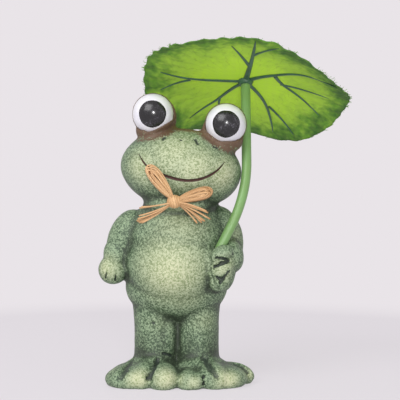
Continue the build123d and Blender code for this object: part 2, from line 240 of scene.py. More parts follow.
def add_node(tree, kind, inputs=None, stops=(), **settings):
    """Adds a node with its settings, its inputs and, for a colour ramp, its stops."""
    made = tree.nodes.new(kind)
    for name, value in settings.items():
        setattr(made, name, value)
    for number, (place, colour) in enumerate(stops):
        elements = made.color_ramp.elements
        element = elements[number] if number < len(elements) else elements.new(1.0)
        element.position = place
        element.color = colour
    set_inputs(tree, made, inputs or {})
    return made


def new_material(name):
    """An empty material, its node tree and its principled shader."""
    material = bpy.data.materials.new(name)
    material.use_nodes = True
    tree = material.node_tree
    shader = tree.nodes["Principled BSDF"]
    return material, tree, shader


def coated(tree, colour, coats):
    """The colour that shows under some coats, each a share and a colour, from the lowest up."""
    for share, coat in coats:
        layer = add_node(tree, "ShaderNodeMix", {0: share, 6: colour, 7: coat}, data_type="RGBA")
        colour = layer.outputs[2]
    return colour


def stored_facts(tree, names):
    """The numbers that a piece stores at its vertices."""
    return {name: add_node(tree, "ShaderNodeAttribute", attribute_name=name).outputs["Fac"] for name in names}


def broken_glaze(settings):
    """Satin reactive glaze on earthenware, sprayed over a dark ground: it breaks into fine pale worms."""
    material, tree, shader = new_material("broken_satin_glaze")
    place = add_node(tree, "ShaderNodeTexCoord").outputs["Object"]
    facts = stored_facts(tree, ("sprayed", "front_light", "crease", "hooded", "pit_shade", "mouth"))
    worms = add_node(tree, "ShaderNodeTexNoise", {
        "Vector": place, "Scale": 1 / settings.crackle, "Detail": 1.0, "Roughness": 0.5, "Distortion": 0.9})
    grains = add_node(tree, "ShaderNodeTexNoise", {
        "Vector": place, "Scale": 2.6 / settings.crackle, "Detail": 1.0})
    clouds = add_node(tree, "ShaderNodeTexNoise", {
        "Vector": place, "Scale": 1 / GLAZE_CLOUD_SIZE, "Detail": 3.0})
    worm_swing, grain_swing, cloud_swing = [
        add_node(tree, "ShaderNodeMath", {0: pattern, 1: 0.5}, operation="SUBTRACT")
        for pattern in (worms, grains, clouds)
    ]

    # How much of the pale glaze covers the ground: most on the sprayed high places, least in the creases and
    # on the sides, where the dark ground shows as painted shade
    cover = -0.06
    for cause, effect in ((facts["sprayed"], 0.04), (facts["crease"], -0.06), (facts["front_light"], 0.03),
                          (cloud_swing, 0.1)):
        cover = add_node(tree, "ShaderNodeMath", {0: cause, 1: effect, 2: cover}, operation="MULTIPLY_ADD")
    shown = add_node(tree, "ShaderNodeMath", {0: worms, 1: cover}, operation="ADD")
    pale = add_node(tree, "ShaderNodeMapRange", {"Value": shown, "From Min": 0.41, "From Max": 0.6})

    # Both layers are lighter where they were sprayed and face the front or up, a painted highlight over the
    # sprayed paint, and darker with painted shade on the sides, the back, the ankles and in the creases
    sprayed_and_lit = add_node(tree, "ShaderNodeMath", {0: facts["sprayed"], 1: facts["front_light"]}, operation="MULTIPLY")
    turned = add_node(tree, "ShaderNodeMath", {0: facts["front_light"], 1: -0.75, 2: 0.75},
                      operation="MULTIPLY_ADD")
    shade = add_node(tree, "ShaderNodeMath", {0: facts["crease"], 1: 0.8, 2: turned},
                     operation="MULTIPLY_ADD", use_clamp=True)
    thin_shade = add_node(tree, "ShaderNodeMath", {0: shade, 1: 0.9}, operation="MULTIPLY")
    ground = coated(tree, settings.ground, ((sprayed_and_lit, linear("9ba977")), (shade, linear("2f3a2b"))))
    glaze = coated(tree, settings.glaze, ((sprayed_and_lit, settings.spray), (thin_shade, linear("52634a"))))

    # Brown round the eyes fades out in specks
    specks = add_node(tree, "ShaderNodeMath", {0: worm_swing, 1: -2.2}, operation="MULTIPLY")
    near = add_node(tree, "ShaderNodeMath", {0: facts["hooded"], 1: 4.0},
                    operation="MULTIPLY", use_clamp=True)
    edge = add_node(tree, "ShaderNodeMath", {0: specks, 1: near, 2: facts["hooded"]},
                    operation="MULTIPLY_ADD")
    hooded = add_node(tree, "ShaderNodeMapRange", {"Value": edge, "From Min": 0.3, "From Max": 0.62})
    brown = coated(tree, settings.hood, ((grains, linear("755c46")),))

    # Pits and slots are darkened with painted shade, and the mouth is painted
    raw_pit_shade = add_node(tree, "ShaderNodeMath", {0: grain_swing, 1: 0.8, 2: facts["pit_shade"]},
                     operation="MULTIPLY_ADD")
    pit_shade = add_node(tree, "ShaderNodeMapRange", {
        "Value": raw_pit_shade, "From Min": 0.3, "From Max": 0.7, "To Max": 0.9})
    wobble = add_node(tree, "ShaderNodeMath", {0: worm_swing, 1: 0.7, 2: facts["mouth"]},
                      operation="MULTIPLY_ADD")
    off_line = add_node(tree, "ShaderNodeMath", {0: wobble}, operation="ABSOLUTE")
    painted = add_node(tree, "ShaderNodeMapRange", {"Value": off_line, "From Min": 1.15, "From Max": 0.7})
    colour = coated(tree, ground, (
        (pale, glaze), (hooded, brown), (pit_shade, linear("26302a")), (painted, settings.mouth)))

    relief = add_node(tree, "ShaderNodeMath", {0: grains, 1: 0.5, 2: pale}, operation="MULTIPLY_ADD")
    bump = add_node(tree, "ShaderNodeBump", {"Height": relief, "Strength": 0.55, "Distance": 0.12 * MM})
    satin = add_node(tree, "ShaderNodeMapRange", {"Value": pale, "To Min": 0.48, "To Max": 0.66})
    set_inputs(tree, shader, {"Base Color": colour, "Roughness": satin, "Normal": bump, "IOR": 1.5})
    return material


def white_glaze(settings):
    """Gloss white glaze on the eyeballs, dipped: smooth, with a faint waviness in its reflections."""
    material, tree, shader = new_material("gloss_white_glaze")
    place = add_node(tree, "ShaderNodeTexCoord").outputs["Object"]
    pools = add_node(tree, "ShaderNodeTexNoise", {"Vector": place, "Scale": 1 / (5 * MM), "Detail": 2.0})
    tint = add_node(tree, "ShaderNodeMapRange", {"Value": pools, "From Min": 0.35, "From Max": 0.7})
    bump = add_node(tree, "ShaderNodeBump", {"Height": pools, "Strength": 0.3, "Distance": 0.25 * MM})
    set_inputs(tree, shader, {
        "Base Color": coated(tree, settings.white, ((tint, linear("e2e1e8")),)), "Normal": bump,
        "Roughness": 0.16, "IOR": 1.52})
    return material


def black_enamel():
    """Gloss black enamel laid on in a thick drop: deep black, with grey specks painted in as the sparkle of
    its reflections.
    """
    material, tree, shader = new_material("gloss_black_enamel")
    place = add_node(tree, "ShaderNodeTexCoord").outputs["Object"]
    glint_grain = add_node(tree, "ShaderNodeTexNoise", {"Vector": place, "Scale": 1 / (0.7 * MM), "Detail": 3.0})
    clouds = add_node(tree, "ShaderNodeTexNoise", {"Vector": place, "Scale": 1 / (4.5 * MM), "Detail": 2.0})
    # The grey specks are painted reflections, the sparkle of the gloss
    specks = add_node(tree, "ShaderNodeMath", {0: glint_grain, 1: clouds}, operation="MULTIPLY")
    colour = add_node(tree, "ShaderNodeValToRGB", {"Fac": specks}, stops=(
        (0.22, linear("1b1b1c")), (0.34, linear("2f2e31")), (0.46, linear("6a6870"))))
    bump = add_node(tree, "ShaderNodeBump", {"Height": glint_grain, "Strength": 0.25, "Distance": 0.08 * MM})
    set_inputs(tree, shader, {"Base Color": colour, "Normal": bump, "Roughness": 0.2, "IOR": 1.52})
    return material


def printed_fabric(settings):
    """Polyester leaf fabric, heat-set and printed: bright middle, mottled rim, fine printed veins."""
    material, tree, shader = new_material("printed_polyester_leaf")
    flat = add_node(tree, "ShaderNodeUVMap", uv_map="leaf_flat")
    centred = add_node(tree, "ShaderNodeMapping", {
        "Vector": flat, "Location": (-1.0, -1.0, 0.0), "Scale": (2.0, 2.0, 1.0)})
    reach = add_node(tree, "ShaderNodeVectorMath", {0: centred}, operation="LENGTH").outputs["Value"]
    patches = add_node(tree, "ShaderNodeTexNoise", {
        "Vector": centred, "Scale": LEAF_RADIUS / (17 * MM), "Detail": 4.0, "Roughness": 0.6})
    mottle = add_node(tree, "ShaderNodeTexNoise", {
        "Vector": centred, "Scale": LEAF_RADIUS / (3.2 * MM), "Detail": 3.0})
    # Threads are about 0.3 mm apart, which is drawn at 0.7 mm so that the picture can show them
    warp, weft = [
        add_node(tree, "ShaderNodeTexWave", {
            "Vector": centred, "Scale": LEAF_RADIUS / (0.7 * MM) / 20, "Distortion": 0.6, "Detail": 1.0},
            wave_type="BANDS", bands_direction=way).outputs["Fac"]
        for way in ("X", "Y")
    ]
    cloth = add_node(tree, "ShaderNodeMath", {0: warp, 1: weft}, operation="ADD")

    # The print is bright in the middle and deep at the rim, with a mottled border between them
    depth = add_node(tree, "ShaderNodeMath", {0: reach, 1: 0.525}, operation="SUBTRACT")
    for pattern, share in ((patches, 0.75), (mottle, 0.3)):
        depth = add_node(tree, "ShaderNodeMath", {0: pattern, 1: share, 2: depth}, operation="MULTIPLY_ADD")
    printed = add_node(tree, "ShaderNodeValToRGB", {"Fac": depth}, stops=(
        (0.35, settings.bright), (0.74, linear("b4df4a")), (0.9, settings.deep), (1.0, linear("467a2d"))))

    # Fine side veins run out from the middle, a few degrees apart
    split = add_node(tree, "ShaderNodeSeparateXYZ", {0: centred})
    around = add_node(tree, "ShaderNodeMath", {0: split.outputs[1], 1: split.outputs[0]}, operation="ARCTAN2")
    bent = add_node(tree, "ShaderNodeMath", {0: patches, 1: 0.7, 2: around}, operation="MULTIPLY_ADD")
    turns = add_node(tree, "ShaderNodeMath", {0: bent, 1: FINE_VEINS / 2}, operation="MULTIPLY")
    wave = add_node(tree, "ShaderNodeMath", {0: turns}, operation="SINE")
    fan = add_node(tree, "ShaderNodeMath", {0: wave}, operation="ABSOLUTE")
    fine = add_node(tree, "ShaderNodeMapRange", {"Value": fan, "From Min": 0.2, "From Max": 0.0})
    far_out = add_node(tree, "ShaderNodeMapRange", {
        "Value": reach, "From Min": 0.15, "From Max": 0.5, "To Max": 0.28})
    fine = add_node(tree, "ShaderNodeMath", {0: fine, 1: far_out}, operation="MULTIPLY")
    bloom = add_node(tree, "ShaderNodeMath", {0: cloth, 1: 0.06}, operation="MULTIPLY")
    colour = coated(tree, printed, ((fine, linear("557f2b")), (bloom, linear("c5dc72"))))

    height = add_node(tree, "ShaderNodeMath", {0: mottle, 1: 2.0, 2: cloth}, operation="MULTIPLY_ADD")
    bump = add_node(tree, "ShaderNodeBump", {"Height": height, "Strength": 0.35, "Distance": 0.1 * MM})
    set_inputs(tree, shader, {"Base Color": colour, "Normal": bump, "Roughness": 0.72})
    glow = add_node(tree, "ShaderNodeBsdfTranslucent", {"Color": colour})
    both = add_node(tree, "ShaderNodeMixShader", {0: 0.25, 1: shader, 2: glow})
    set_inputs(tree, tree.nodes["Material Output"], {"Surface": both})
    return material


def moulded_plastic(name, colour, shade, roughness):
    """Injection-moulded polyethylene: a waxy soft sheen over a slightly uneven colour."""
    material, tree, shader = new_material(name)
    place = add_node(tree, "ShaderNodeTexCoord").outputs["Object"]
    clouds = add_node(tree, "ShaderNodeTexNoise", {"Vector": place, "Scale": 1 / (6 * MM), "Detail": 3.0})
    skin = add_node(tree, "ShaderNodeTexNoise", {"Vector": place, "Scale": 1 / (0.6 * MM), "Detail": 2.0})
    share = add_node(tree, "ShaderNodeMapRange", {"Value": clouds, "From Min": 0.35, "From Max": 0.7})
    bump = add_node(tree, "ShaderNodeBump", {"Height": skin, "Strength": 0.2, "Distance": 0.06 * MM})
    set_inputs(tree, shader, {
        "Base Color": coated(tree, colour, ((share, shade),)), "Normal": bump, "Roughness": roughness,
        "IOR": 1.51})
    return material


def drawn_steel():
    """Drawn steel wire: bright, with fine scratches along it."""
    material, tree, shader = new_material("drawn_steel_wire")
    place = add_node(tree, "ShaderNodeTexCoord").outputs["Object"]
    marks = add_node(tree, "ShaderNodeTexNoise", {"Vector": place, "Scale": 1 / (0.5 * MM), "Detail": 2.0})
    rough = add_node(tree, "ShaderNodeMapRange", {"Value": marks, "To Min": 0.25, "To Max": 0.45})
    set_inputs(tree, shader, {"Base Color": linear("b9b8b4"), "Metallic": 1.0, "Roughness": rough})
    return material


def hot_melt():
    """Hot-melt glue: a smooth milky amber drop."""
    material, tree, shader = new_material("hot_melt_glue")
    place = add_node(tree, "ShaderNodeTexCoord").outputs["Object"]
    haze = add_node(tree, "ShaderNodeTexNoise", {"Vector": place, "Scale": 1 / (2 * MM), "Detail": 2.0})
    amber = coated(tree, linear("e6d9b8"), ((haze, linear("d2bf92")),))
    set_inputs(tree, shader, {"Base Color": amber, "Roughness": 0.3})
    return material


def dried_raffia(settings):
    """Dried palm raffia, split into strips: fine fibres along them, each strip another straw colour."""
    material, tree, shader = new_material("dried_palm_raffia")
    facts = stored_facts(tree, ("across", "along", "edge", "tone"))
    flat = add_node(tree, "ShaderNodeCombineXYZ", {0: facts["across"], 1: facts["along"]})
    drawn_out = add_node(tree, "ShaderNodeMapping", {"Vector": flat, "Scale": (9.0, 0.12, 1.0)})
    fibres = add_node(tree, "ShaderNodeTexNoise", {
        "Vector": drawn_out, "Scale": 1.0, "Detail": 3.0, "Roughness": 0.65})
    straw = add_node(tree, "ShaderNodeValToRGB", {"Fac": fibres}, stops=(
        (0.36, settings.dark), (0.47, linear("dcae78")), (0.62, settings.pale)))
    tone = add_node(tree, "ShaderNodeMath", {0: facts["tone"], 1: 0.6}, operation="MULTIPLY")
    # The sides of each strip are darkened with painted shade, as between strips lying side by side
    sides = add_node(tree, "ShaderNodeMapRange", {
        "Value": facts["edge"], "From Min": 0.72, "From Max": 1.0, "To Max": 0.75})
    colour = coated(tree, straw, ((tone, linear("ad7c49")), (sides, settings.dark)))
    bump = add_node(tree, "ShaderNodeBump", {"Height": fibres, "Strength": 0.6, "Distance": 0.15 * MM})
    set_inputs(tree, shader, {"Base Color": colour, "Normal": bump, "Roughness": 0.55})
    return material


def studio_floor(settings):
    """Pale board: it takes the object's shadow near by and fades into the backdrop further out."""
    material, tree, shader = new_material("pale_board_floor")
    place = add_node(tree, "ShaderNodeTexCoord").outputs["Object"]
    grain = add_node(tree, "ShaderNodeTexNoise", {"Vector": place, "Scale": 1 / (40 * MM), "Detail": 3.0})
    tint = add_node(tree, "ShaderNodeMath", {0: grain, 1: 0.12}, operation="MULTIPLY")
    set_inputs(tree, shader, {
        "Base Color": coated(tree, settings.floor, ((tint, linear("dcd4e2")),)), "Roughness": 0.6})
    reach = add_node(tree, "ShaderNodeVectorMath", {0: place}, operation="LENGTH").outputs["Value"]
    far_out = add_node(tree, "ShaderNodeMapRange", {
        "Value": reach, "From Min": 0.12, "From Max": 0.35}, interpolation_type="SMOOTHSTEP")
    faded = add_node(tree, "ShaderNodeMath", {0: far_out, 1: 0.7}, operation="MAXIMUM")
    share = add_node(tree, "ShaderNodeMath", {0: faded, 1: light_path_seen(tree)}, operation="MULTIPLY")
    glow = add_node(tree, "ShaderNodeEmission", {"Color": settings.backdrop, "Strength": 1.0})
    both = add_node(tree, "ShaderNodeMixShader", {0: share, 1: shader, 2: glow})
    set_inputs(tree, tree.nodes["Material Output"], {"Surface": both})
    return material


def light_path_seen(tree):
    """1 for the rays that show the surroundings: the camera's, and those in gloss and glass."""
    path = add_node(tree, "ShaderNodeLightPath").outputs
    seen = add_node(tree, "ShaderNodeMath", {0: path["Is Camera Ray"], 1: path["Is Glossy Ray"]},
                    operation="ADD")
    return add_node(tree, "ShaderNodeMath", {0: seen, 1: path["Is Transmission Ray"]},
                    operation="ADD", use_clamp=True)


def dress_node(node, material):
    """Gives a CAD node its material."""
    obj = frame["nodes"][node]
    if not obj.material_slots:
        obj.data.materials.append(material)
    for place in obj.material_slots:
        place.material = material


def add_piece(name, mesh, material, body, nodes=()):
    """Adds a finished mesh as a piece that rides on a body and stands for the given nodes."""
    obj = bpy.data.objects.new(name, mesh)
    bpy.context.scene.collection.objects.link(obj)
    mesh.materials.clear()
    mesh.materials.append(material)
    mesh.shade_smooth()
    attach(obj, body)
    if nodes:
        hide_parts(*nodes)
    return obj


def mesh_of(bm, name):
    """A mesh of a bmesh, which is freed."""
    mesh = bpy.data.meshes.new(name)
    bm.to_mesh(mesh)
    bm.free()
    return mesh


def applied(obj, name):
    """The mesh of an object with its modifiers or bevel applied. The object is removed."""
    bpy.context.view_layer.update()
    graph = bpy.context.evaluated_depsgraph_get()
    mesh = bpy.data.meshes.new_from_object(obj.evaluated_get(graph), depsgraph=graph)
    bpy.data.objects.remove(obj)
    mesh.name = name
    return mesh


def closed(mesh):
    """The mesh with the caps of its tubes merged to the tubes."""
    bm = bmesh.new()
    bm.from_mesh(mesh)
    bmesh.ops.remove_doubles(bm, verts=bm.verts, dist=MERGE_GAP)
    bm.to_mesh(mesh)
    bm.free()
    return mesh


def read_points(mesh, what="co"):
    """The places or the normals of a mesh's vertices, as an array."""
    values = np.empty(len(mesh.vertices) * 3)
    mesh.vertices.foreach_get(what, values)
    return values.reshape(-1, 3)


def write_points(mesh, points):
    """Moves a mesh's vertices to the given places."""
    mesh.vertices.foreach_set("co", points.ravel())
    mesh.update()


def write_fact(mesh, name, values):
    """Stores a number at each vertex for the material to read."""
    attribute = mesh.attributes.new(name, "FLOAT", "POINT")
    attribute.data.foreach_set("value", np.asarray(values, np.float32))


def relaxed(mesh, points, rounds):
    """The places that the points come to when each moves halfway to its neighbours' mean, some rounds."""
    pairs = np.empty(len(mesh.edges) * 2, np.int64)
    mesh.edges.foreach_get("vertices", pairs)
    pairs = pairs.reshape(-1, 2)
    ends = np.concatenate((pairs[:, 0], pairs[:, 1]))
    others = np.concatenate((pairs[:, 1], pairs[:, 0]))
    count = np.bincount(ends, minlength=len(points))
    for _ in range(rounds):
        total = [np.bincount(ends, weights=points[others, axis], minlength=len(points)) for axis in range(3)]
        points = (points + np.stack(total, 1) / count[:, None]) / 2
    return points


def ease(values, low, high):
    """A smooth step from 0 at low to 1 at high."""
    share = np.clip((values - low) / (high - low), 0, 1)
    return share * share * (3 - 2 * share)


def off_path(points, path):
    """Each point's distance to the nearest run of a path."""
    best = np.full(len(points), np.inf)
    for start, end in zip(path, path[1:]):
        run = end - start
        share = np.clip((points - start) @ run / (run @ run), 0, 1)
        best = np.minimum(best, np.linalg.norm(points - start - share[:, None] * run, axis=1))
    return best


def off_eyes(points):
    """Each point's distance to the middle of the nearer eyeball."""
    gaps = [np.linalg.norm(points - np.array(middle), axis=1) for middle in EYE_CENTRE.values()]
    return np.min(gaps, axis=0)


def wandering(points, size, seed):
    """A smooth noise, about -1 to 1, at each point, with features of the given size."""
    shift = Vector((seed * 7.3, seed * 3.1, seed * 5.7))
    return np.array([noise.noise(Vector(point) / size + shift) for point in points])


# The sizes of the broad and the fine lumps of the hand-finished skin, and of the raggedness of a slot
BROAD_LUMP = 9 * MM
FINE_LUMP = 3.4 * MM
RAGGED_SIZE = 1.2 * MM

# The mouth's line on the face, across and up in mm, from the frog's right to its left
MOUTH_LINE = ((-18.7, 118.2), (-17.6, 115.7), (-15.2, 112.9), (-10.3, 109.5), (-5.3, 107.1), (1.5, 105.5),
              (7.2, 104.9), (12.5, 105.6), (18.5, 108.1), (21.7, 110.6), (24.4, 113.7))

# Grooves and pits: the line on the front, across and up in mm, then half width, depth and the darkness of
# their painted shade
CARVINGS = (
    (((-5.8, 126.4), (-6.6, 125.6)), 0.9, 0.5, 0.95),
    (((2.4, 125.4), (2.9, 125.2)), 0.55, 0.35, 0.9),
    (((10.0, 125.4), (11.0, 123.4)), 0.75, 0.6, 1.0),
    (((19.4, 121.7), (20.8, 121.3)), 0.7, 0.5, 0.9),
    (((31.0, 113.6), (31.4, 112.9)), 0.6, 0.3, 0.8),
    (((-11.9, 31.8), (-11.5, 31.4)), 0.8, 0.4, 0.7),
    (((-6.7, 15.8), (-4.6, 15.2), (-2.6, 14.0)), 0.7, 0.5, 0.8),
    (((20.3, 66.3), (23.6, 65.6), (26.8, 64.6)), 0.8, 1.3, 1.0),
    (((26.8, 64.6), (23.2, 63.3), (19.4, 61.6)), 0.85, 1.3, 1.0),
    (((26.8, 58.8), (24.6, 56.6), (22.4, 53.6)), 0.95, 1.4, 1.0),
    (((20.8, 56.2), (22.6, 55.4)), 0.9, 1.2, 0.95),
    (((28.4, 70.4), (29.0, 68.0)), 0.6, 0.7, 0.8),
    (((18.0, 71.6), (17.2, 66.0), (17.4, 60.0), (19.0, 54.0), (21.4, 50.6)), 1.1, 0.5, 0.35),
    (((-35.9, 57.0), (-36.5, 54.2)), 0.5, 0.8, 0.9),
    (((-30.9, 55.8), (-31.3, 53.0)), 0.5, 0.8, 0.9),
    (((-23.2, 12.4), (-25.6, 9.2), (-27.8, 5.8)), 1.9, 1.3, 0.62),
    (((-9.4, 13.0), (-11.5, 9.6), (-13.4, 6.0)), 1.6, 1.5, 0.75),
    (((-11.8, 9.3), (-13.3, 6.4)), 0.8, 1.0, 1.0),
    (((14.8, 13.9), (17.5, 10.4), (20.5, 7.1)), 2.0, 1.2, 0.62),
    (((13.8, 6.8), (13.9, 2.6)), 0.7, 1.4, 1.0),
    (((30.5, 11.5), (33.6, 9.2), (36.8, 6.7)), 1.6, 1.2, 0.66),
)

# Where the yellow-green glaze was sprayed: across, out from the front, up and radius in mm, then strength
SPRAYED = (
    (-2.0, -26.0, 60.0, 21.0, 0.9), (4.0, -23.0, 49.0, 14.0, 0.5), (0.0, -25.0, 119.0, 19.0, 0.68),
    (10.0, -26.0, 111.0, 17.0, 0.75), (-16.0, -20.0, 111.0, 13.0, 0.7), (24.0, -19.0, 107.0, 13.0, 0.85),
    (-36.0, -10.0, 59.0, 8.5, 0.8), (24.0, -24.0, 61.0, 8.0, 0.6), (-18.7, -29.0, 6.0, 7.5, 1.0),
    (-3.7, -30.0, 6.5, 9.0, 1.0), (9.2, -31.0, 4.0, 5.5, 0.6), (26.2, -27.0, 5.0, 8.0, 1.0),
    (-31.0, -15.0, 5.0, 6.0, 0.7), (36.5, -15.0, 5.0, 6.0, 0.8), (31.0, -8.0, 76.0, 8.0, 0.3),
    (3.0, -20.0, 82.0, 17.0, 0.45), (28.0, -14.0, 112.0, 10.0, 0.5), (-7.0, -12.0, 30.0, 9.0, 0.15),
    (15.0, -12.0, 31.0, 9.0, 0.25),
)

# The band of painted shade round the ankles: its middle and how far it reaches up and down
ANKLE_HEIGHT = 19.5 * MM
ANKLE_BAND = 11 * MM

# How far from an eyeball the skin starts to soften, where it softens fully, and where the brown ends
SOCKET_EDGE = EYE_RADIUS + 1.0 * MM
SOCKET_FREE = EYE_RADIUS + 2.2 * MM
BROWN_END = EYE_RADIUS + 8.1 * MM
# Rounds of relaxing that soften the skin, and that the hollows and the sides are measured against
SOFT_ROUNDS = 10
BLEND_ROUNDS = 34
HOLLOW_ROUNDS = 44
SIDE_ROUNDS = 20
# The brown also covers the bridge between the hoods: its middle in mm, and shares that make it wide
BRIDGE = (5.5, -3.0, 131.0)
BRIDGE_SHARES = (0.6, 1, 1)

# The lip of the hood over each eyeball: the line's point below the eye's middle and its slope, in mm
HOOD_LIPS = {"right": (-7.7, 0.52), "left": (-10.1, -0.66)}
# The flare that carries each hood: its middle from the eye's middle and its half sizes, in mm
HOOD_FLARES = {
    "right": ((1.3, 4.4, -1.6), (10.8, 8.6, 11.0)),
    "left": ((-1.6, 2.8, -4.4), (11.0, 8.2, 10.2)),
}
# Soft forms that round the masses off where they meet: the middle and the half sizes, in mm
SOFT_FORMS = (
    ((0.3, -3.0, 72.5), (25.0, 21.0, 24.0)),
    ((-21.0, -15.5, 3.5), (15.5, 12.8, 7.4)),
    ((21.0, -15.5, 3.5), (15.5, 12.8, 7.4)),
    ((-6.5, -21.0, 3.0), (8.0, 9.5, 7.0)),
    ((6.5, -21.5, 3.0), (6.5, 9.5, 6.2)),
    ((-31.0, -4.5, 66.0), (6.8, 6.6, 9.0)),
    ((18.4, -19.0, 61.6), (3.8, 4.2, 5.0)),
    ((-6.6, -4.6, 24.0), (7.1, 7.4, 20.0)),
    ((8.0, -4.6, 24.0), (7.1, 7.4, 20.0)),
)


def front_point(tree, across, up):
    """The point on the front of the body that lies at the given place across and up."""
    ahead = Vector((across, CAD_BOX[0].y - 10 * MM, up))
    hit = tree.ray_cast(ahead, Vector((0, 1, 0)))[0]
    if hit is None:
        hit = tree.find_nearest(Vector((across, -10 * MM, up)))[0]
    return np.array(hit)


def add_lip(bm, side):
    """Adds the part of the hood that laps over the lower edge of an eyeball."""
    below, slope = HOOD_LIPS[side]
    centre = EYE_CENTRE[side]
    ball = bmesh.ops.create_icosphere(
        bm, subdivisions=4, radius=EYE_RADIUS + 0.75 * MM, matrix=Matrix.Translation(centre))
    verts = ball["verts"]
    edges = list({edge for vert in verts for edge in vert.link_edges})
    faces = list({face for vert in verts for face in vert.link_faces})
    cut = bmesh.ops.bisect_plane(
        bm, geom=verts + edges + faces, plane_co=centre + Vector((0, 0, below * MM)),
        plane_no=Vector((-slope, -0.12, 1)).normalized(), clear_outer=True)
    rim = [piece for piece in cut["geom_cut"] if isinstance(piece, bmesh.types.BMEdge)]
    bmesh.ops.holes_fill(bm, edges=rim)


def add_soft_form(bm, middle, halves):
    """Adds a rounded mass and returns its vertices."""
    place = Matrix.Translation(middle)
    sizes = Matrix.Diagonal((*[half * MM for half in halves], 1.0))
    made = bmesh.ops.create_icosphere(bm, subdivisions=4, radius=1.0, matrix=place @ sizes)
    for vert in made["verts"]:
        vert.co.z = max(vert.co.z, 0)
    return made["verts"]


def add_flare(bm, side):
    """Adds the swelling under a hood."""
    middle, halves = HOOD_FLARES[side]
    made = add_soft_form(bm, EYE_CENTRE[side] + Vector(middle) * MM, halves)
    # The eyeball's socket stays open in front
    behind = EYE_CENTRE[side].y + 4 * MM
    for vert in made:
        if (vert.co - EYE_CENTRE[side]).length < EYE_RADIUS + 0.3 * MM:
            vert.co.y = max(vert.co.y, behind)


def refine(mesh, wanted):
    """Divides the faces where the wanted mask, one value a vertex, is true."""
    bm = bmesh.new()
    bm.from_mesh(mesh)
    bm.verts.ensure_lookup_table()
    near = [edge for edge in bm.edges if wanted[edge.verts[0].index] or wanted[edge.verts[1].index]]
    bmesh.ops.subdivide_edges(bm, edges=near, cuts=1, use_grid_fill=True)
    bm.to_mesh(mesh)
    bm.free()


# Points further back than the face can't lie on the mouth, and get an offset past its paint
FACE_BACK = -8 * MM
OFF_MOUTH = 9.0


def mouth_offset(points, width):
    """How far each point lies above the mouth's line, in half widths of the line there."""
    across, up = np.array(MOUTH_LINE).T * MM
    curve = np.polynomial.Polynomial.fit(across, up, 6)
    x = np.clip(points[:, 0], across[0], across[-1])
    steep = curve.deriv()(x)
    apart = (points[:, 2] - curve(x)) / np.sqrt(1 + steep ** 2)
    middle, half = (across[0] + across[-1]) / 2, (across[-1] - across[0]) / 2
    taper = np.sqrt(np.clip(1 - np.abs((x - middle) / half) ** 3, 0.05, 1))
    beyond = np.abs(points[:, 0] - x)
    offset = (np.abs(apart) + beyond) * np.sign(apart) / (width / 2 * taper)
    return np.where(points[:, 1] < FACE_BACK, offset, OFF_MOUTH)


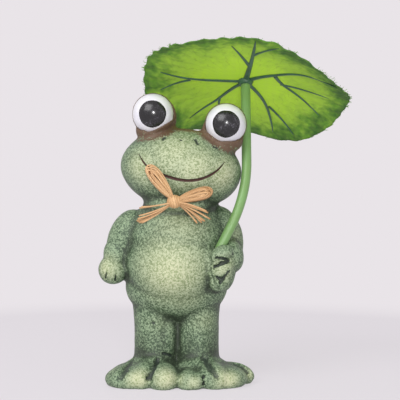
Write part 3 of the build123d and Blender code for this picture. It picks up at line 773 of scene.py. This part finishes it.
def shaped_body(settings):
    """The casting's skin: one soft surface over the model's masses, with its details carved in."""
    bm = bmesh.new()
    bm.from_mesh(frame["nodes"]["body_casting"].data)
    bmesh.ops.remove_doubles(bm, verts=bm.verts, dist=MERGE_GAP)
    for side in EYE_CENTRE:
        add_flare(bm, side)
        add_lip(bm, side)
    for middle, halves in SOFT_FORMS:
        add_soft_form(bm, Vector(middle) * MM, halves)
    rough = bpy.data.objects.new("rough_body", mesh_of(bm, "rough_body"))
    bpy.context.scene.collection.objects.link(rough)
    skin = rough.modifiers.new("skin", "REMESH")
    skin.mode = "VOXEL"
    skin.voxel_size = settings.voxel
    mesh = applied(rough, "frog_body")

    # Soften the skin, most where two masses meet. The soles, the sockets and the stem's hole keep their shape
    points = read_points(mesh)
    normals = read_points(mesh, "normal")
    eye_gap = off_eyes(points)
    along = (points - np.array(STEM_FOOT)) @ np.array(STEM_AXIS)
    hole_gap = np.linalg.norm(points - np.array(STEM_FOOT) - along[:, None] * np.array(STEM_AXIS), axis=1)
    free = ease(points[:, 2], 0.2 * MM, 2 * MM) * ease(eye_gap, SOCKET_EDGE, SOCKET_FREE)
    at_hole = ease(hole_gap, STEM_RADIUS + 0.7 * MM, STEM_RADIUS + 2.1 * MM)
    free *= np.where(np.abs(along) < 14 * MM, at_hole, 1)
    soft = relaxed(mesh, points, BLEND_ROUNDS)
    hollow = ((soft - points) * normals).sum(1)
    share = (0.25 + 0.75 * ease(hollow, 0.05 * MM, 0.35 * MM)) * free
    points = points + share[:, None] * (relaxed(mesh, points, SOFT_ROUNDS) - points)
    write_points(mesh, points)

    # Find the lines of the carvings on the skin, and make the mesh finer along them
    tree = BVHTree.FromPolygons([Vector(p) for p in points], [tuple(f.vertices) for f in mesh.polygons])
    paths = [[front_point(tree, x * MM, z * MM) for x, z in line] for line, _, _, _ in CARVINGS]
    refine(mesh, np.abs(mouth_offset(points, settings.mouth_width)) < 2.6)
    for _ in range(2):
        points = read_points(mesh)
        near = np.abs(mouth_offset(points, settings.mouth_width)) < 1.9
        for path, (_, width, _, _) in zip(paths, CARVINGS):
            near |= off_path(points, path) < min(width * 1.6, 2.2) * MM
        refine(mesh, near)

    points = read_points(mesh)
    normals = read_points(mesh, "normal")
    pit_shade = np.zeros(len(points))
    sink = np.zeros(len(points))
    for path, (_, width, depth, dark) in zip(paths, CARVINGS):
        gap = off_path(points, path)
        near = gap < 3 * width * MM
        ragged = 1 + 0.5 * wandering(points[near], RAGGED_SIZE, 3)
        share = np.zeros(len(points))
        share[near] = 1 - ease(gap[near] / (width * MM * ragged), 0.35, 1.5)
        sink = np.maximum(sink, share * depth * MM)
        # The painted shade is darkest along the middle of each groove and pit
        pit_shade = np.maximum(pit_shade, share * dark)
    mouth = mouth_offset(points, settings.mouth_width)
    sink = np.maximum(sink, (1 - ease(np.abs(mouth), 0.3, 1.5)) * settings.mouth_depth)
    points -= normals * sink[:, None]

    # Hand-finished skin is a little uneven
    free = ease(points[:, 2], 0.2 * MM, 2 * MM)
    eye_gap = off_eyes(points)
    free *= ease(eye_gap, SOCKET_EDGE, SOCKET_FREE + 0.4 * MM)
    lumps = wandering(points, BROAD_LUMP, 1) + 0.45 * wandering(points, FINE_LUMP, 2)
    points += normals * (lumps * free * settings.lump)[:, None]
    write_points(mesh, points)

    # Store what the glaze needs to know: hollows and sides for its painted shade and light, the painted shade
    # in the pits and slots, mouth, spray and brown
    normals = read_points(mesh, "normal")
    # The hollows found here are darkened with painted shade in the glaze
    soft = relaxed(mesh, points, HOLLOW_ROUNDS)
    hollow = ((soft - points) * normals).sum(1)
    write_fact(mesh, "crease", np.clip(hollow / (0.5 * MM), -1, 1))
    write_fact(mesh, "pit_shade", pit_shade)
    write_fact(mesh, "mouth", mouth)
    sprayed = np.zeros(len(points))
    for x, y, z, radius, strength in SPRAYED:
        gap = np.linalg.norm(points - np.array((x, y, z)) * MM, axis=1)
        sprayed = np.maximum(sprayed, strength * (1 - ease(gap, 0.0, 1.35 * radius * MM)))
    write_fact(mesh, "sprayed", sprayed)
    # Painted light: faces turned to the front or up count as lit, and the sides and the back take painted
    # shade
    facing = relaxed(mesh, read_points(mesh, "normal"), SIDE_ROUNDS)
    front_light = ease(np.abs(facing[:, 1]) + 0.35 * facing[:, 2], 0.05, 0.85)
    # The ankles take painted shade as well
    ankle_gap = np.abs(points[:, 2] - ANKLE_HEIGHT) / ANKLE_BAND
    front_light *= 0.1 + 0.9 * ease(ankle_gap, 0.3, 1.3)
    write_fact(mesh, "front_light", front_light)
    crown = np.linalg.norm((points - np.array(BRIDGE) * MM) * BRIDGE_SHARES, axis=1)
    hooded = np.maximum(1 - ease(eye_gap, EYE_RADIUS + 1.2 * MM, BROWN_END), 1 - ease(crown, 5 * MM, 12 * MM))
    write_fact(mesh, "hooded", hooded)
    return mesh


def pupil_drop(side):
    """A thick drop of enamel on the front of an eyeball."""
    bm = bmesh.new()
    bmesh.ops.create_uvsphere(bm, u_segments=72, v_segments=36, radius=1.0)
    centre = EYE_CENTRE[side]
    for vert in bm.verts:
        out = math.hypot(vert.co.x, vert.co.y)
        around = math.atan2(vert.co.y, vert.co.x)
        wobble = 1 + 0.012 * math.sin(3 * around + 1) + 0.008 * math.sin(7 * around)
        turn = out * math.asin(PUPIL_RADIUS / EYE_RADIUS) * wobble
        rise = EYE_RADIUS + 0.55 * MM * vert.co.z
        aside = math.sin(turn) * rise
        ahead = math.cos(turn) * rise
        vert.co = centre + Vector((aside * math.cos(around), -ahead, aside * math.sin(around)))
    bmesh.ops.recalc_face_normals(bm, faces=bm.faces)
    return mesh_of(bm, f"pupil_drop_{side}")


def leaf_height(x, y):
    """The height of the leaf's underside over the hub's top: a drooping dome with a few waves."""
    out = math.hypot(x, y) / LEAF_RADIUS
    around = math.atan2(y, x)
    share = LEAF_DROOP_SHARE * out ** 2
    share -= BACK_SAG_SHARE * out ** 4 * math.exp(-((around - BACK_SAG_TURN) / BACK_SAG_SPREAD) ** 2)
    for count, wave_share, start in LEAF_WAVE_SHARES:
        share += wave_share * out ** max(count, 2) * math.cos(count * around - math.radians(start))
    return share * LEAF_RADIUS


def leaf_place():
    """The matrix from the leaf's own plane to the frame."""
    across = Vector((1, 0, 0))
    ahead = LEAF_AXIS.cross(across)
    turn = Matrix((across, ahead, LEAF_AXIS)).transposed().to_4x4()
    return Matrix.Translation(LEAF_ORIGIN) @ turn


def leaf_rim(around):
    """The leaf's radius in a direction: scalloped, torn a little and uneven."""
    spot = Vector((math.cos(around), math.sin(around), 0))
    uneven = 0.010 * noise.noise(spot * 2.3 + Vector((4, 1, 0))) + 0.006 * noise.noise(spot * 12)
    torn = 0.005 * noise.noise(spot * 46 + Vector((0, 0, 5)))
    scallop = 0.6 * SCALLOP_SHARE * math.cos(SCALLOPS * around)
    return LEAF_RADIUS * min(1 + scallop + uneven + torn, 1 + SCALLOP_SHARE)


# How far apart the small waves near the rim and the dents all over the sheet are
RUFFLE_SIZE = 5.5 * MM
DENT_SIZE = 11 * MM


def leaf_sheet(settings):
    """The sheet of fabric: a disc with a torn scalloped rim, draped over waves and ruffled near its rim."""
    rings = 42
    steps = 352
    bm = bmesh.new()
    inner = bm.verts.new((PIN_HOLE_RADIUS / LEAF_RADIUS, 0, 0))
    outer = bm.verts.new((1, 0, 0))
    spoke = bm.edges.new((inner, outer))
    bmesh.ops.subdivide_edges(bm, edges=[spoke], cuts=rings - 1)
    bmesh.ops.spin(
        bm, geom=list(bm.verts) + list(bm.edges), cent=(0, 0, 0), axis=(0, 0, 1), angle=2 * math.pi,
        steps=steps, use_merge=True)
    bmesh.ops.recalc_face_normals(bm, faces=bm.faces)
    if sum(face.normal.z for face in bm.faces) < 0:
        bmesh.ops.reverse_faces(bm, faces=bm.faces)
    flat = bm.loops.layers.uv.new("leaf_flat")
    for face in bm.faces:
        for loop in face.loops:
            loop[flat].uv = (loop.vert.co.x / 2 + 0.5, loop.vert.co.y / 2 + 0.5)
    for vert in bm.verts:
        out = math.hypot(vert.co.x, vert.co.y)
        around = math.atan2(vert.co.y, vert.co.x)
        reach = out * (LEAF_RADIUS + (leaf_rim(around) - LEAF_RADIUS) * out ** 6)
        x, y = reach * math.cos(around), reach * math.sin(around)
        rough = max(0.0, (out - 0.45) / 0.55)
        spot = Vector((x, y, 0))
        ruffle = rough * rough * noise.noise(spot / RUFFLE_SIZE)
        dent = 0.35 * min(1, out * 2) * noise.noise(spot / DENT_SIZE + Vector((3, 3, 3)))
        pleat = 0.3 * rough * math.cos(SCALLOPS * around)
        vert.co = Vector((x, y, leaf_height(x, y) + settings.ruffle * (ruffle + dent + pleat)))
    bmesh.ops.transform(bm, matrix=leaf_place(), verts=bm.verts)
    return mesh_of(bm, "leaf_sheet")


# How thick a vein is, as a share of its width
VEIN_FLATNESS = 0.62
# Moulded veins in shares of the leaf's radius, with the shares of the widest vein's width at both ends
VEIN_SHARES = (
    (((0, 0), (-0.25, -0.02), (-0.54, -0.03), (-0.78, -0.12)), 0.75, 0.3),
    (((-0.54, -0.03), (-0.66, 0), (-0.79, 0.09)), 0.45, 0.3),
    (((0, 0), (-0.12, 0.12), (-0.25, 0.34), (-0.36, 0.44), (-0.51, 0.58)), 0.75, 0.3),
    (((-0.25, 0.34), (-0.26, 0.5)), 0.45, 0.3),
    (((0, 0), (0.02, -0.2), (0.05, -0.49), (0.06, -0.9)), 1, 0.35),
    (((0.02, -0.36), (-0.04, -0.54), (-0.13, -0.74)), 0.6, 0.3),
    (((0.05, -0.6), (0.13, -0.75), (0.24, -0.87)), 0.5, 0.3),
    (((0, 0), (0.09, -0.09), (0.28, -0.17), (0.55, -0.44), (0.79, -0.42)), 1, 0.35),
    (((0.28, -0.17), (0.34, 0), (0.49, 0.11), (0.71, 0.36)), 0.7, 0.3),
    (((0.34, 0), (0.58, 0.01), (0.76, 0.04)), 0.5, 0.3),
    (((0, 0), (0.13, 0.22), (0.25, 0.45), (0.3, 0.79)), 0.75, 0.3),
    (((0.25, 0.45), (0.41, 0.64), (0.48, 0.73)), 0.45, 0.3),
)


# How finely a curve is divided between two of its points
STEPS_A_POINT = 6


def add_curve(name, splines, **settings):
    """A curve object of NURBS splines, each a list of points with radius and tilt."""
    data = bpy.data.curves.new(name, "CURVE")
    data.dimensions = "3D"
    for attribute, value in settings.items():
        setattr(data, attribute, value)
    for run in splines:
        spline = data.splines.new("NURBS")
        spline.points.add(len(run) - 1)
        for point, (place, radius, tilt) in zip(spline.points, run):
            point.co = (*place, 1.0)
            point.radius = radius
            point.tilt = tilt
        spline.use_endpoint_u = True
        spline.order_u = min(4, len(run))
        spline.resolution_u = STEPS_A_POINT
    obj = bpy.data.objects.new(name, data)
    bpy.context.scene.collection.objects.link(obj)
    return obj


def leaf_veins(settings):
    """The moulded veins under the sheet, half-round and tapering, and the hub that they meet in."""
    half = settings.vein_width / 2
    runs = []
    for shares, start, end in VEIN_SHARES:
        last = len(shares) - 1
        run = []
        for i, (x, y) in enumerate(shares):
            width_share = start + (end - start) * i / last
            run.append(((x * LEAF_RADIUS, y * LEAF_RADIUS, 0), width_share * half, 0))
        tip = Vector(run[-1][0]) + (Vector(run[-1][0]) - Vector(run[-2][0])).normalized() * 3 * MM
        run.append((tuple(tip), 0.12 * half, 0))
        runs.append(run)
    tubes = add_curve("veins", runs, bevel_depth=1.0, bevel_resolution=3, use_fill_caps=True)
    bm = bmesh.new()
    bm.from_mesh(closed(applied(tubes, "veins")))
    bmesh.ops.subdivide_edges(bm, edges=[e for e in bm.edges if e.calc_length() > 2 * MM], cuts=1)
    # Below, a vein is a flattened half round. Above, it ends inside the sheet
    for vert in bm.verts:
        rise = min(VEIN_FLATNESS * vert.co.z, 0.15 * MM)
        vert.co.z = leaf_height(vert.co.x, vert.co.y) + rise - 0.1 * MM
    hub = bmesh.ops.create_cone(
        bm, cap_ends=True, segments=48, radius1=0.82 * HUB_RADIUS, radius2=1.1 * HUB_RADIUS,
        depth=HUB_RISE - 0.1 * MM, matrix=Matrix.Translation((0, 0, -HUB_RISE / 2 + 0.05 * MM)))
    edges = {edge for vert in hub["verts"] for edge in vert.link_edges}
    rims = [edge for edge in edges if len(edge.link_faces) == 2 and edge.calc_face_angle() > 0.5]
    bmesh.ops.bevel(bm, geom=rims, offset=0.4 * MM, segments=3, profile=0.5, affect="EDGES", material=-1,
                    clamp_overlap=True)
    bmesh.ops.transform(bm, matrix=leaf_place(), verts=bm.verts)
    return mesh_of(bm, "leaf_veins")


# Threads that have come loose round the rim, and how thick they are drawn
LOOSE_THREADS = 260
THREAD_RADIUS = 0.14 * MM


def loose_threads(settings):
    """Threads that have come loose along the torn rim."""
    draw = random.Random(11)
    place = leaf_place()
    runs = []
    for _ in range(LOOSE_THREADS):
        around = draw.uniform(0, 2 * math.pi)
        start_reach = leaf_rim(around) - 0.5 * MM
        length = settings.fray * draw.uniform(0.25, 1.0)
        turn = around + draw.uniform(-1.2, 1.2)
        x, y = start_reach * math.cos(around), start_reach * math.sin(around)
        points = []
        for share in (0, 0.4, 0.75, 1):
            curl = draw.uniform(-0.25, 0.25) * length * share
            px = x + length * share * math.cos(turn) - curl * math.sin(turn)
            py = y + length * share * math.sin(turn) + curl * math.cos(turn)
            over = max(0.0, math.hypot(px, py) / (LEAF_RADIUS + settings.fray * 0.5) - 1)
            px, py = px / (1 + over), py / (1 + over)
            height = leaf_height(x, y) + draw.uniform(-0.2, 0.35) * length * share + 0.2 * MM
            points.append((tuple(place @ Vector((px, py, height))), 1 - 0.5 * share, 0))
        runs.append(points)
    threads = add_curve("threads", runs, bevel_depth=THREAD_RADIUS, bevel_resolution=0, use_fill_caps=True)
    mesh = closed(applied(threads, "leaf_threads"))
    # The threads take the colour of the rim
    flat = mesh.uv_layers.new(name="leaf_flat")
    for loop_place in flat.uv:
        loop_place.vector = (0.96, 0.5)
    return mesh


# The bow's five strands, as the model has them: turn from +X, length and width shares of both loops, and
# turn and length share of both tails
STRANDS = (
    ((127, 1.00, 1.00), (16, 0.88, 0.95), (209, 1.00), (-44, 0.75)),
    ((125, 0.95, 0.80), (18, 0.84, 0.78), (207, 1.01), (-38, 0.82)),
    ((129, 0.97, 0.62), (14, 0.86, 0.60), (211, 0.97), (-33, 0.86)),
    ((124, 0.90, 0.46), (19, 0.80, 0.45), (205, 0.96), (-26, 0.94)),
    ((130, 0.93, 0.32), (13, 0.82, 0.32), (190, 0.84), (-18, 0.84)),
)
LOOP_LENGTH = 22.5 * MM
LOOP_WIDTH = 7.6 * MM
TAIL_LENGTH = 21.0 * MM
# A strip's section: a flat oval with a groove down each side, in half widths and half thicknesses
STRIP_SECTION = ((-1, 0), (-0.8, 0.8), (-0.4, 1), (0, 0.6), (0.4, 1), (0.8, 0.8),
                 (1, 0), (0.8, -0.8), (0.4, -1), (0, -0.6), (-0.4, -1), (-0.8, -0.8))


def strip_mesh(name, runs, settings):
    """Strips of raffia along splines. Their vertices store where they lie on a strip, and its tone."""
    section = bpy.data.curves.new("section", "CURVE")
    section.dimensions = "2D"
    outline = section.splines.new("POLY")
    outline.points.add(len(STRIP_SECTION) - 1)
    for point, (x, y) in zip(outline.points, STRIP_SECTION):
        point.co = (x * settings.strip_width / 2, y * settings.strip_thickness / 2, 0, 1)
    outline.use_cyclic_u = True
    profile = bpy.data.objects.new("section", section)
    bpy.context.scene.collection.objects.link(profile)
    strips = add_curve(name, runs, bevel_mode="OBJECT", bevel_object=profile, use_fill_caps=True,
                       twist_mode="Z_UP")
    mesh = applied(strips, name)
    bpy.data.objects.remove(profile)
    # The caps' rings come first, two a strip from the last strip to the first, and then the strips' own
    order = np.arange(len(mesh.vertices))
    numbers = np.arange(len(runs))
    rings = [STEPS_A_POINT * (len(run) - 1) for run in runs]
    strip = np.concatenate((np.repeat(numbers[::-1], 2), np.repeat(numbers, rings)))
    strip = np.repeat(strip, len(STRIP_SECTION))
    aside = np.array(STRIP_SECTION)[order % len(STRIP_SECTION), 0]
    write_fact(mesh, "across", aside + strip * 3.7)
    write_fact(mesh, "along", order // len(STRIP_SECTION) * 0.35)
    # The material darkens each strip's sides from this with painted shade
    write_fact(mesh, "edge", np.abs(aside))
    write_fact(mesh, "tone", (strip * 0.618) % 1)
    return closed(mesh)


def loop_run(turn, length, width, lift, draw):
    """The points of one loop, out along one side, round its end and back, in the bow's own plane."""
    profile = ((0, 0), (0.22, 0.30), (0.5, 0.43), (0.78, 0.5), (0.96, 0.36), (1.02, 0), (0.96, -0.36),
               (0.78, -0.5), (0.5, -0.43), (0.22, -0.30), (0, 0))
    cos, sin = math.cos(math.radians(turn)), math.sin(math.radians(turn))
    run = []
    for out, aside in profile:
        x = out * length + draw.uniform(-0.25, 0.25) * MM * (out > 0)
        y = aside * width + draw.uniform(-0.2, 0.2) * MM * (out > 0)
        depth = lift + draw.uniform(-0.15, 0.25) * MM
        run.append(((x * cos - y * sin, x * sin + y * cos, depth), draw.uniform(0.85, 1.1),
                    draw.uniform(-0.35, 0.35)))
    return run


def tail_run(turn, length, lift, draw):
    """The points of one tail, a little bowed, in the bow's own plane."""
    cos, sin = math.cos(math.radians(turn)), math.sin(math.radians(turn))
    bow = draw.uniform(0.02, 0.06) * length
    run = []
    for share in (0, 0.25, 0.5, 0.75, 1):
        x, y = share * length, bow * 4 * share * (1 - share)
        depth = lift + draw.uniform(-0.1, 0.3) * MM
        run.append(((x * cos - y * sin, x * sin + y * cos, depth), draw.uniform(0.85, 1.1),
                    draw.uniform(-0.4, 0.4)))
    return run


def bow_place(depth):
    """The matrix from the bow's plane, seen from the front, to the frame, at a depth along Y."""
    turn = Matrix(((1, 0, 0), (0, 0, -1), (0, 1, 0))).to_4x4()
    return Matrix.Translation((KNOT_CENTRE.x, depth, KNOT_CENTRE.z)) @ turn


def bow_strand(number, settings):
    """One strand of the bow: loops of three strips inside one another and tails of two side by side."""
    draw = random.Random(100 + number)
    left_loop, right_loop, left_tail, right_tail = STRANDS[number]
    narrowest = 2.4 * MM
    runs = []
    for turn, length_share, width_share in (left_loop, right_loop):
        width = narrowest + width_share * (LOOP_WIDTH - narrowest) - settings.strip_width
        length = length_share * LOOP_LENGTH - settings.strip_width / 2
        for reach, spread, lift in ((1, 1, 0), (0.94, 0.62, 0.2), (0.86, 0.3, -0.15)):
            aside = draw.uniform(-4, 4) * (reach < 1)
            runs.append(loop_run(turn + aside, reach * length, spread * width, lift * MM, draw))
    for turn, length_share in (left_tail, right_tail):
        runs.append(tail_run(turn, length_share * TAIL_LENGTH, 0, draw))
        runs.append(tail_run(turn + draw.uniform(-5, 5), 0.94 * length_share * TAIL_LENGTH, 0.2 * MM, draw))
    mesh = strip_mesh(f"raffia_strand_{number + 1}", runs, settings)
    mesh.transform(bow_place(middle_of(f"bow_strand_{number + 1}").y))
    return mesh


def raffia_knot():
    """The wrap round the strands: a firm lump of strips wound over one another."""
    bm = bmesh.new()
    turned = Matrix.Rotation(math.radians(90), 4, "Y")
    bmesh.ops.create_uvsphere(bm, u_segments=72, v_segments=48, radius=1.0, matrix=turned)
    halves = KNOT_SIZE / 2
    pitch = 1.3 * MM
    across, edge, tone = [], [], []
    for vert in bm.verts:
        unit = vert.co.copy()
        x = unit.x * halves.x
        swirl = x + 0.5 * MM * math.sin(2 * math.atan2(unit.z, -unit.y))
        across.append(abs((swirl / pitch) % 2 - 1) * 2 + swirl // pitch * 1.3)
        # The material darkens each winding's sides from this with painted shade
        edge.append(abs((swirl / pitch - 0.5) % 1 - 0.5) * 2)
        tone.append((swirl / pitch + 0.5) // 1 * 0.618 % 1)
        ridge = 0.09 * abs(math.cos(math.pi * swirl / pitch)) - 0.05
        wound = unit * (1 + ridge * (1 - unit.x ** 2))
        vert.co = KNOT_CENTRE + wound * Vector((halves.x, 0.98 * halves.y, 0.95 * halves.z))
    mesh = mesh_of(bm, "raffia_knot")
    write_fact(mesh, "across", across)
    points = read_points(mesh) - np.array(KNOT_CENTRE)
    write_fact(mesh, "along", np.arctan2(points[:, 2], points[:, 1]) * 3)
    write_fact(mesh, "edge", edge)
    write_fact(mesh, "tone", tone)
    return mesh


class FROG_OT_body(bpy.types.Operator):
    """Shape and glaze the hollow casting"""

    bl_idname = "frog.body"
    bl_label = "Frog body"

    def execute(self, context):
        settings = context.scene.frog_body
        add_piece("frog_body", shaped_body(settings), broken_glaze(settings), "figure",
                  ["body_casting"])
        return {"FINISHED"}


class FROG_OT_eyes(bpy.types.Operator):
    """Glaze the eyeballs and lay the pupils on them"""

    bl_idname = "frog.eyes"
    bl_label = "Eyes"

    def execute(self, context):
        white = white_glaze(context.scene.frog_body)
        black = black_enamel()
        for side in EYE_CENTRE:
            dress_node(f"eyeball_{side}", white)
            add_piece(f"pupil_drop_{side}", pupil_drop(side), black, "figure",
                      [f"pupil_{side}"])
        return {"FINISHED"}


class FROG_OT_stem(bpy.types.Operator):
    """Finish the moulded stem and its wire"""

    bl_idname = "frog.stem"
    bl_label = "Stem"

    def execute(self, context):
        settings = context.scene.frog_leaf
        plastic = moulded_plastic("moulded_polyethylene_stem", settings.stem, linear("7da765"), 0.38)
        dress_node("stem_tube", plastic)
        dress_node("stem_wire", drawn_steel())
        return {"FINISHED"}


class FROG_OT_leaf(bpy.types.Operator):
    """Lay the fabric leaf on its veins, with its loose threads and its pin"""

    bl_idname = "frog.leaf"
    bl_label = "Leaf"

    def execute(self, context):
        settings = context.scene.frog_leaf
        fabric = printed_fabric(settings)
        sheet = add_piece("leaf_sheet", leaf_sheet(settings), fabric, "leaf", ["leaf_blade"])
        wall = sheet.modifiers.new("wall", "SOLIDIFY")
        wall.thickness = BLADE_THICKNESS
        wall.offset = 1.0
        threads = add_piece("leaf_threads", loose_threads(settings), fabric, "leaf")
        plastic = moulded_plastic("moulded_polyethylene_veins", settings.vein, linear("3f6a50"), 0.45)
        add_piece("leaf_veins", leaf_veins(settings), plastic, "leaf", ["leaf_ribs"])
        dress_node("leaf_pin", plastic)
        return {"FINISHED"}


class FROG_OT_bow(bpy.types.Operator):
    """Tie the raffia bow and glue it to the throat"""

    bl_idname = "frog.bow"
    bl_label = "Raffia bow"

    def execute(self, context):
        settings = context.scene.frog_bow
        raffia = dried_raffia(settings)
        for number in range(len(STRANDS)):
            mesh = bow_strand(number, settings)
            add_piece(mesh.name, mesh, raffia, "figure", [f"bow_strand_{number + 1}"])
        add_piece("raffia_knot", raffia_knot(), raffia, "figure", ["bow_knot"])
        dress_node("bow_glue", hot_melt())
        return {"FINISHED"}


FLOOR_RADIUS = 1200 * MM
# The lamps' places and the sides of their squares. They shine at the middle of the figure
LAMP_AIM = Vector((12, 0, 85)) * MM
KEY_PLACE, KEY_SIZE = Vector((-550, -850, 950)) * MM, 900 * MM
FRONT_PLACE, FRONT_SIZE = Vector((80, -950, 270)) * MM, 90 * MM
# The camera stands 0.7 m in front, a little under the leaf, and looks slightly down. Its lens makes one
# pixel of a picture 400 wide about 0.52 mm at the frog
CAMERA_PLACE = Vector((12.2, -700, 130)) * MM
CAMERA_AIM = Vector((12.2, 0, 94)) * MM
SENSOR_WIDTH = 36.0
LENS_SHARE = 1350 / 400


def turned_to(place, aim):
    """The rotation of a lamp or camera that stands at a place and looks at another."""
    return (aim - place).to_track_quat("-Z", "Y").to_euler()


def add_lamp(name, place, size, power):
    """A square lamp that shines at the figure."""
    data = bpy.data.lights.new(name, "AREA")
    data.size = size
    data.energy = power
    lamp = bpy.data.objects.new(name, data)
    lamp.location = place
    lamp.rotation_euler = turned_to(place, LAMP_AIM)
    bpy.context.scene.collection.objects.link(lamp)


class FROG_OT_stage(bpy.types.Operator):
    """Set up the floor, the light, the backdrop and the camera"""

    bl_idname = "frog.stage"
    bl_label = "Stage"

    def execute(self, context):
        settings = context.scene.frog_stage
        scene = context.scene
        bm = bmesh.new()
        bmesh.ops.create_circle(bm, cap_ends=True, segments=96, radius=FLOOR_RADIUS)
        floor = bpy.data.objects.new("floor", mesh_of(bm, "floor"))
        floor.data.materials.append(studio_floor(settings))
        scene.collection.objects.link(floor)

        add_lamp("key_lamp", KEY_PLACE, KEY_SIZE, settings.key)
        add_lamp("front_lamp", FRONT_PLACE, FRONT_SIZE, settings.front)

        world = bpy.data.worlds.new("studio")
        world.use_nodes = True
        scene.world = world
        tree = world.node_tree
        background = tree.nodes["Background"]
        seen = light_path_seen(tree)
        level = add_node(tree, "ShaderNodeMapRange", {
            "Value": seen, "To Min": settings.surround, "To Max": 1.0})
        colour = coated(tree, linear("fbf9ff"), ((seen, settings.backdrop),))
        set_inputs(tree, background, {"Color": colour, "Strength": level})

        camera = bpy.data.objects.new("camera", bpy.data.cameras.new("camera"))
        camera.data.sensor_width = SENSOR_WIDTH
        camera.data.lens = SENSOR_WIDTH * LENS_SHARE
        camera.location = CAMERA_PLACE
        camera.rotation_euler = turned_to(CAMERA_PLACE, CAMERA_AIM)
        scene.collection.objects.link(camera)
        scene.camera = camera
        scene.view_settings.view_transform = "Standard"
        return {"FINISHED"}


class FROG_PT_panel(bpy.types.Panel):
    """Lists the frog's pieces and their settings"""

    bl_idname = "FROG_PT_panel"
    bl_label = "Frog"
    bl_space_type = "VIEW_3D"
    bl_region_type = "UI"
    bl_category = "Frog"

    def draw(self, context):
        scene = context.scene
        for group in (scene.frog_body, scene.frog_leaf, scene.frog_bow, scene.frog_stage):
            box = self.layout.box()
            for name in group.bl_rna.properties.keys():
                if name not in ("rna_type", "name"):
                    box.prop(group, name)
        for operator in OPERATORS:
            self.layout.operator(operator.bl_idname)


GROUPS = {
    "frog_body": FrogBodySettings,
    "frog_leaf": LeafSettings,
    "frog_bow": BowSettings,
    "frog_stage": StageSettings,
}
OPERATORS = (FROG_OT_body, FROG_OT_eyes, FROG_OT_stem, FROG_OT_leaf, FROG_OT_bow, FROG_OT_stage)


def register():
    """Registers the settings, the operators and the panel."""
    for name, group in GROUPS.items():
        bpy.utils.register_class(group)
        setattr(bpy.types.Scene, name, bpy.props.PointerProperty(type=group))
    for operator in OPERATORS:
        bpy.utils.register_class(operator)
    bpy.utils.register_class(FROG_PT_panel)


def unregister():
    """Takes them all out again."""
    bpy.utils.unregister_class(FROG_PT_panel)
    for operator in reversed(OPERATORS):
        bpy.utils.unregister_class(operator)
    for name, group in GROUPS.items():
        delattr(bpy.types.Scene, name)
        bpy.utils.unregister_class(group)


def main():
    register()
    bpy.ops.frog.stage()
    bpy.ops.frog.body()
    bpy.ops.frog.eyes()
    bpy.ops.frog.stem()
    bpy.ops.frog.leaf()
    bpy.ops.frog.bow()
    bpy.context.view_layer.update()


if __name__ == "__main__":
    main()
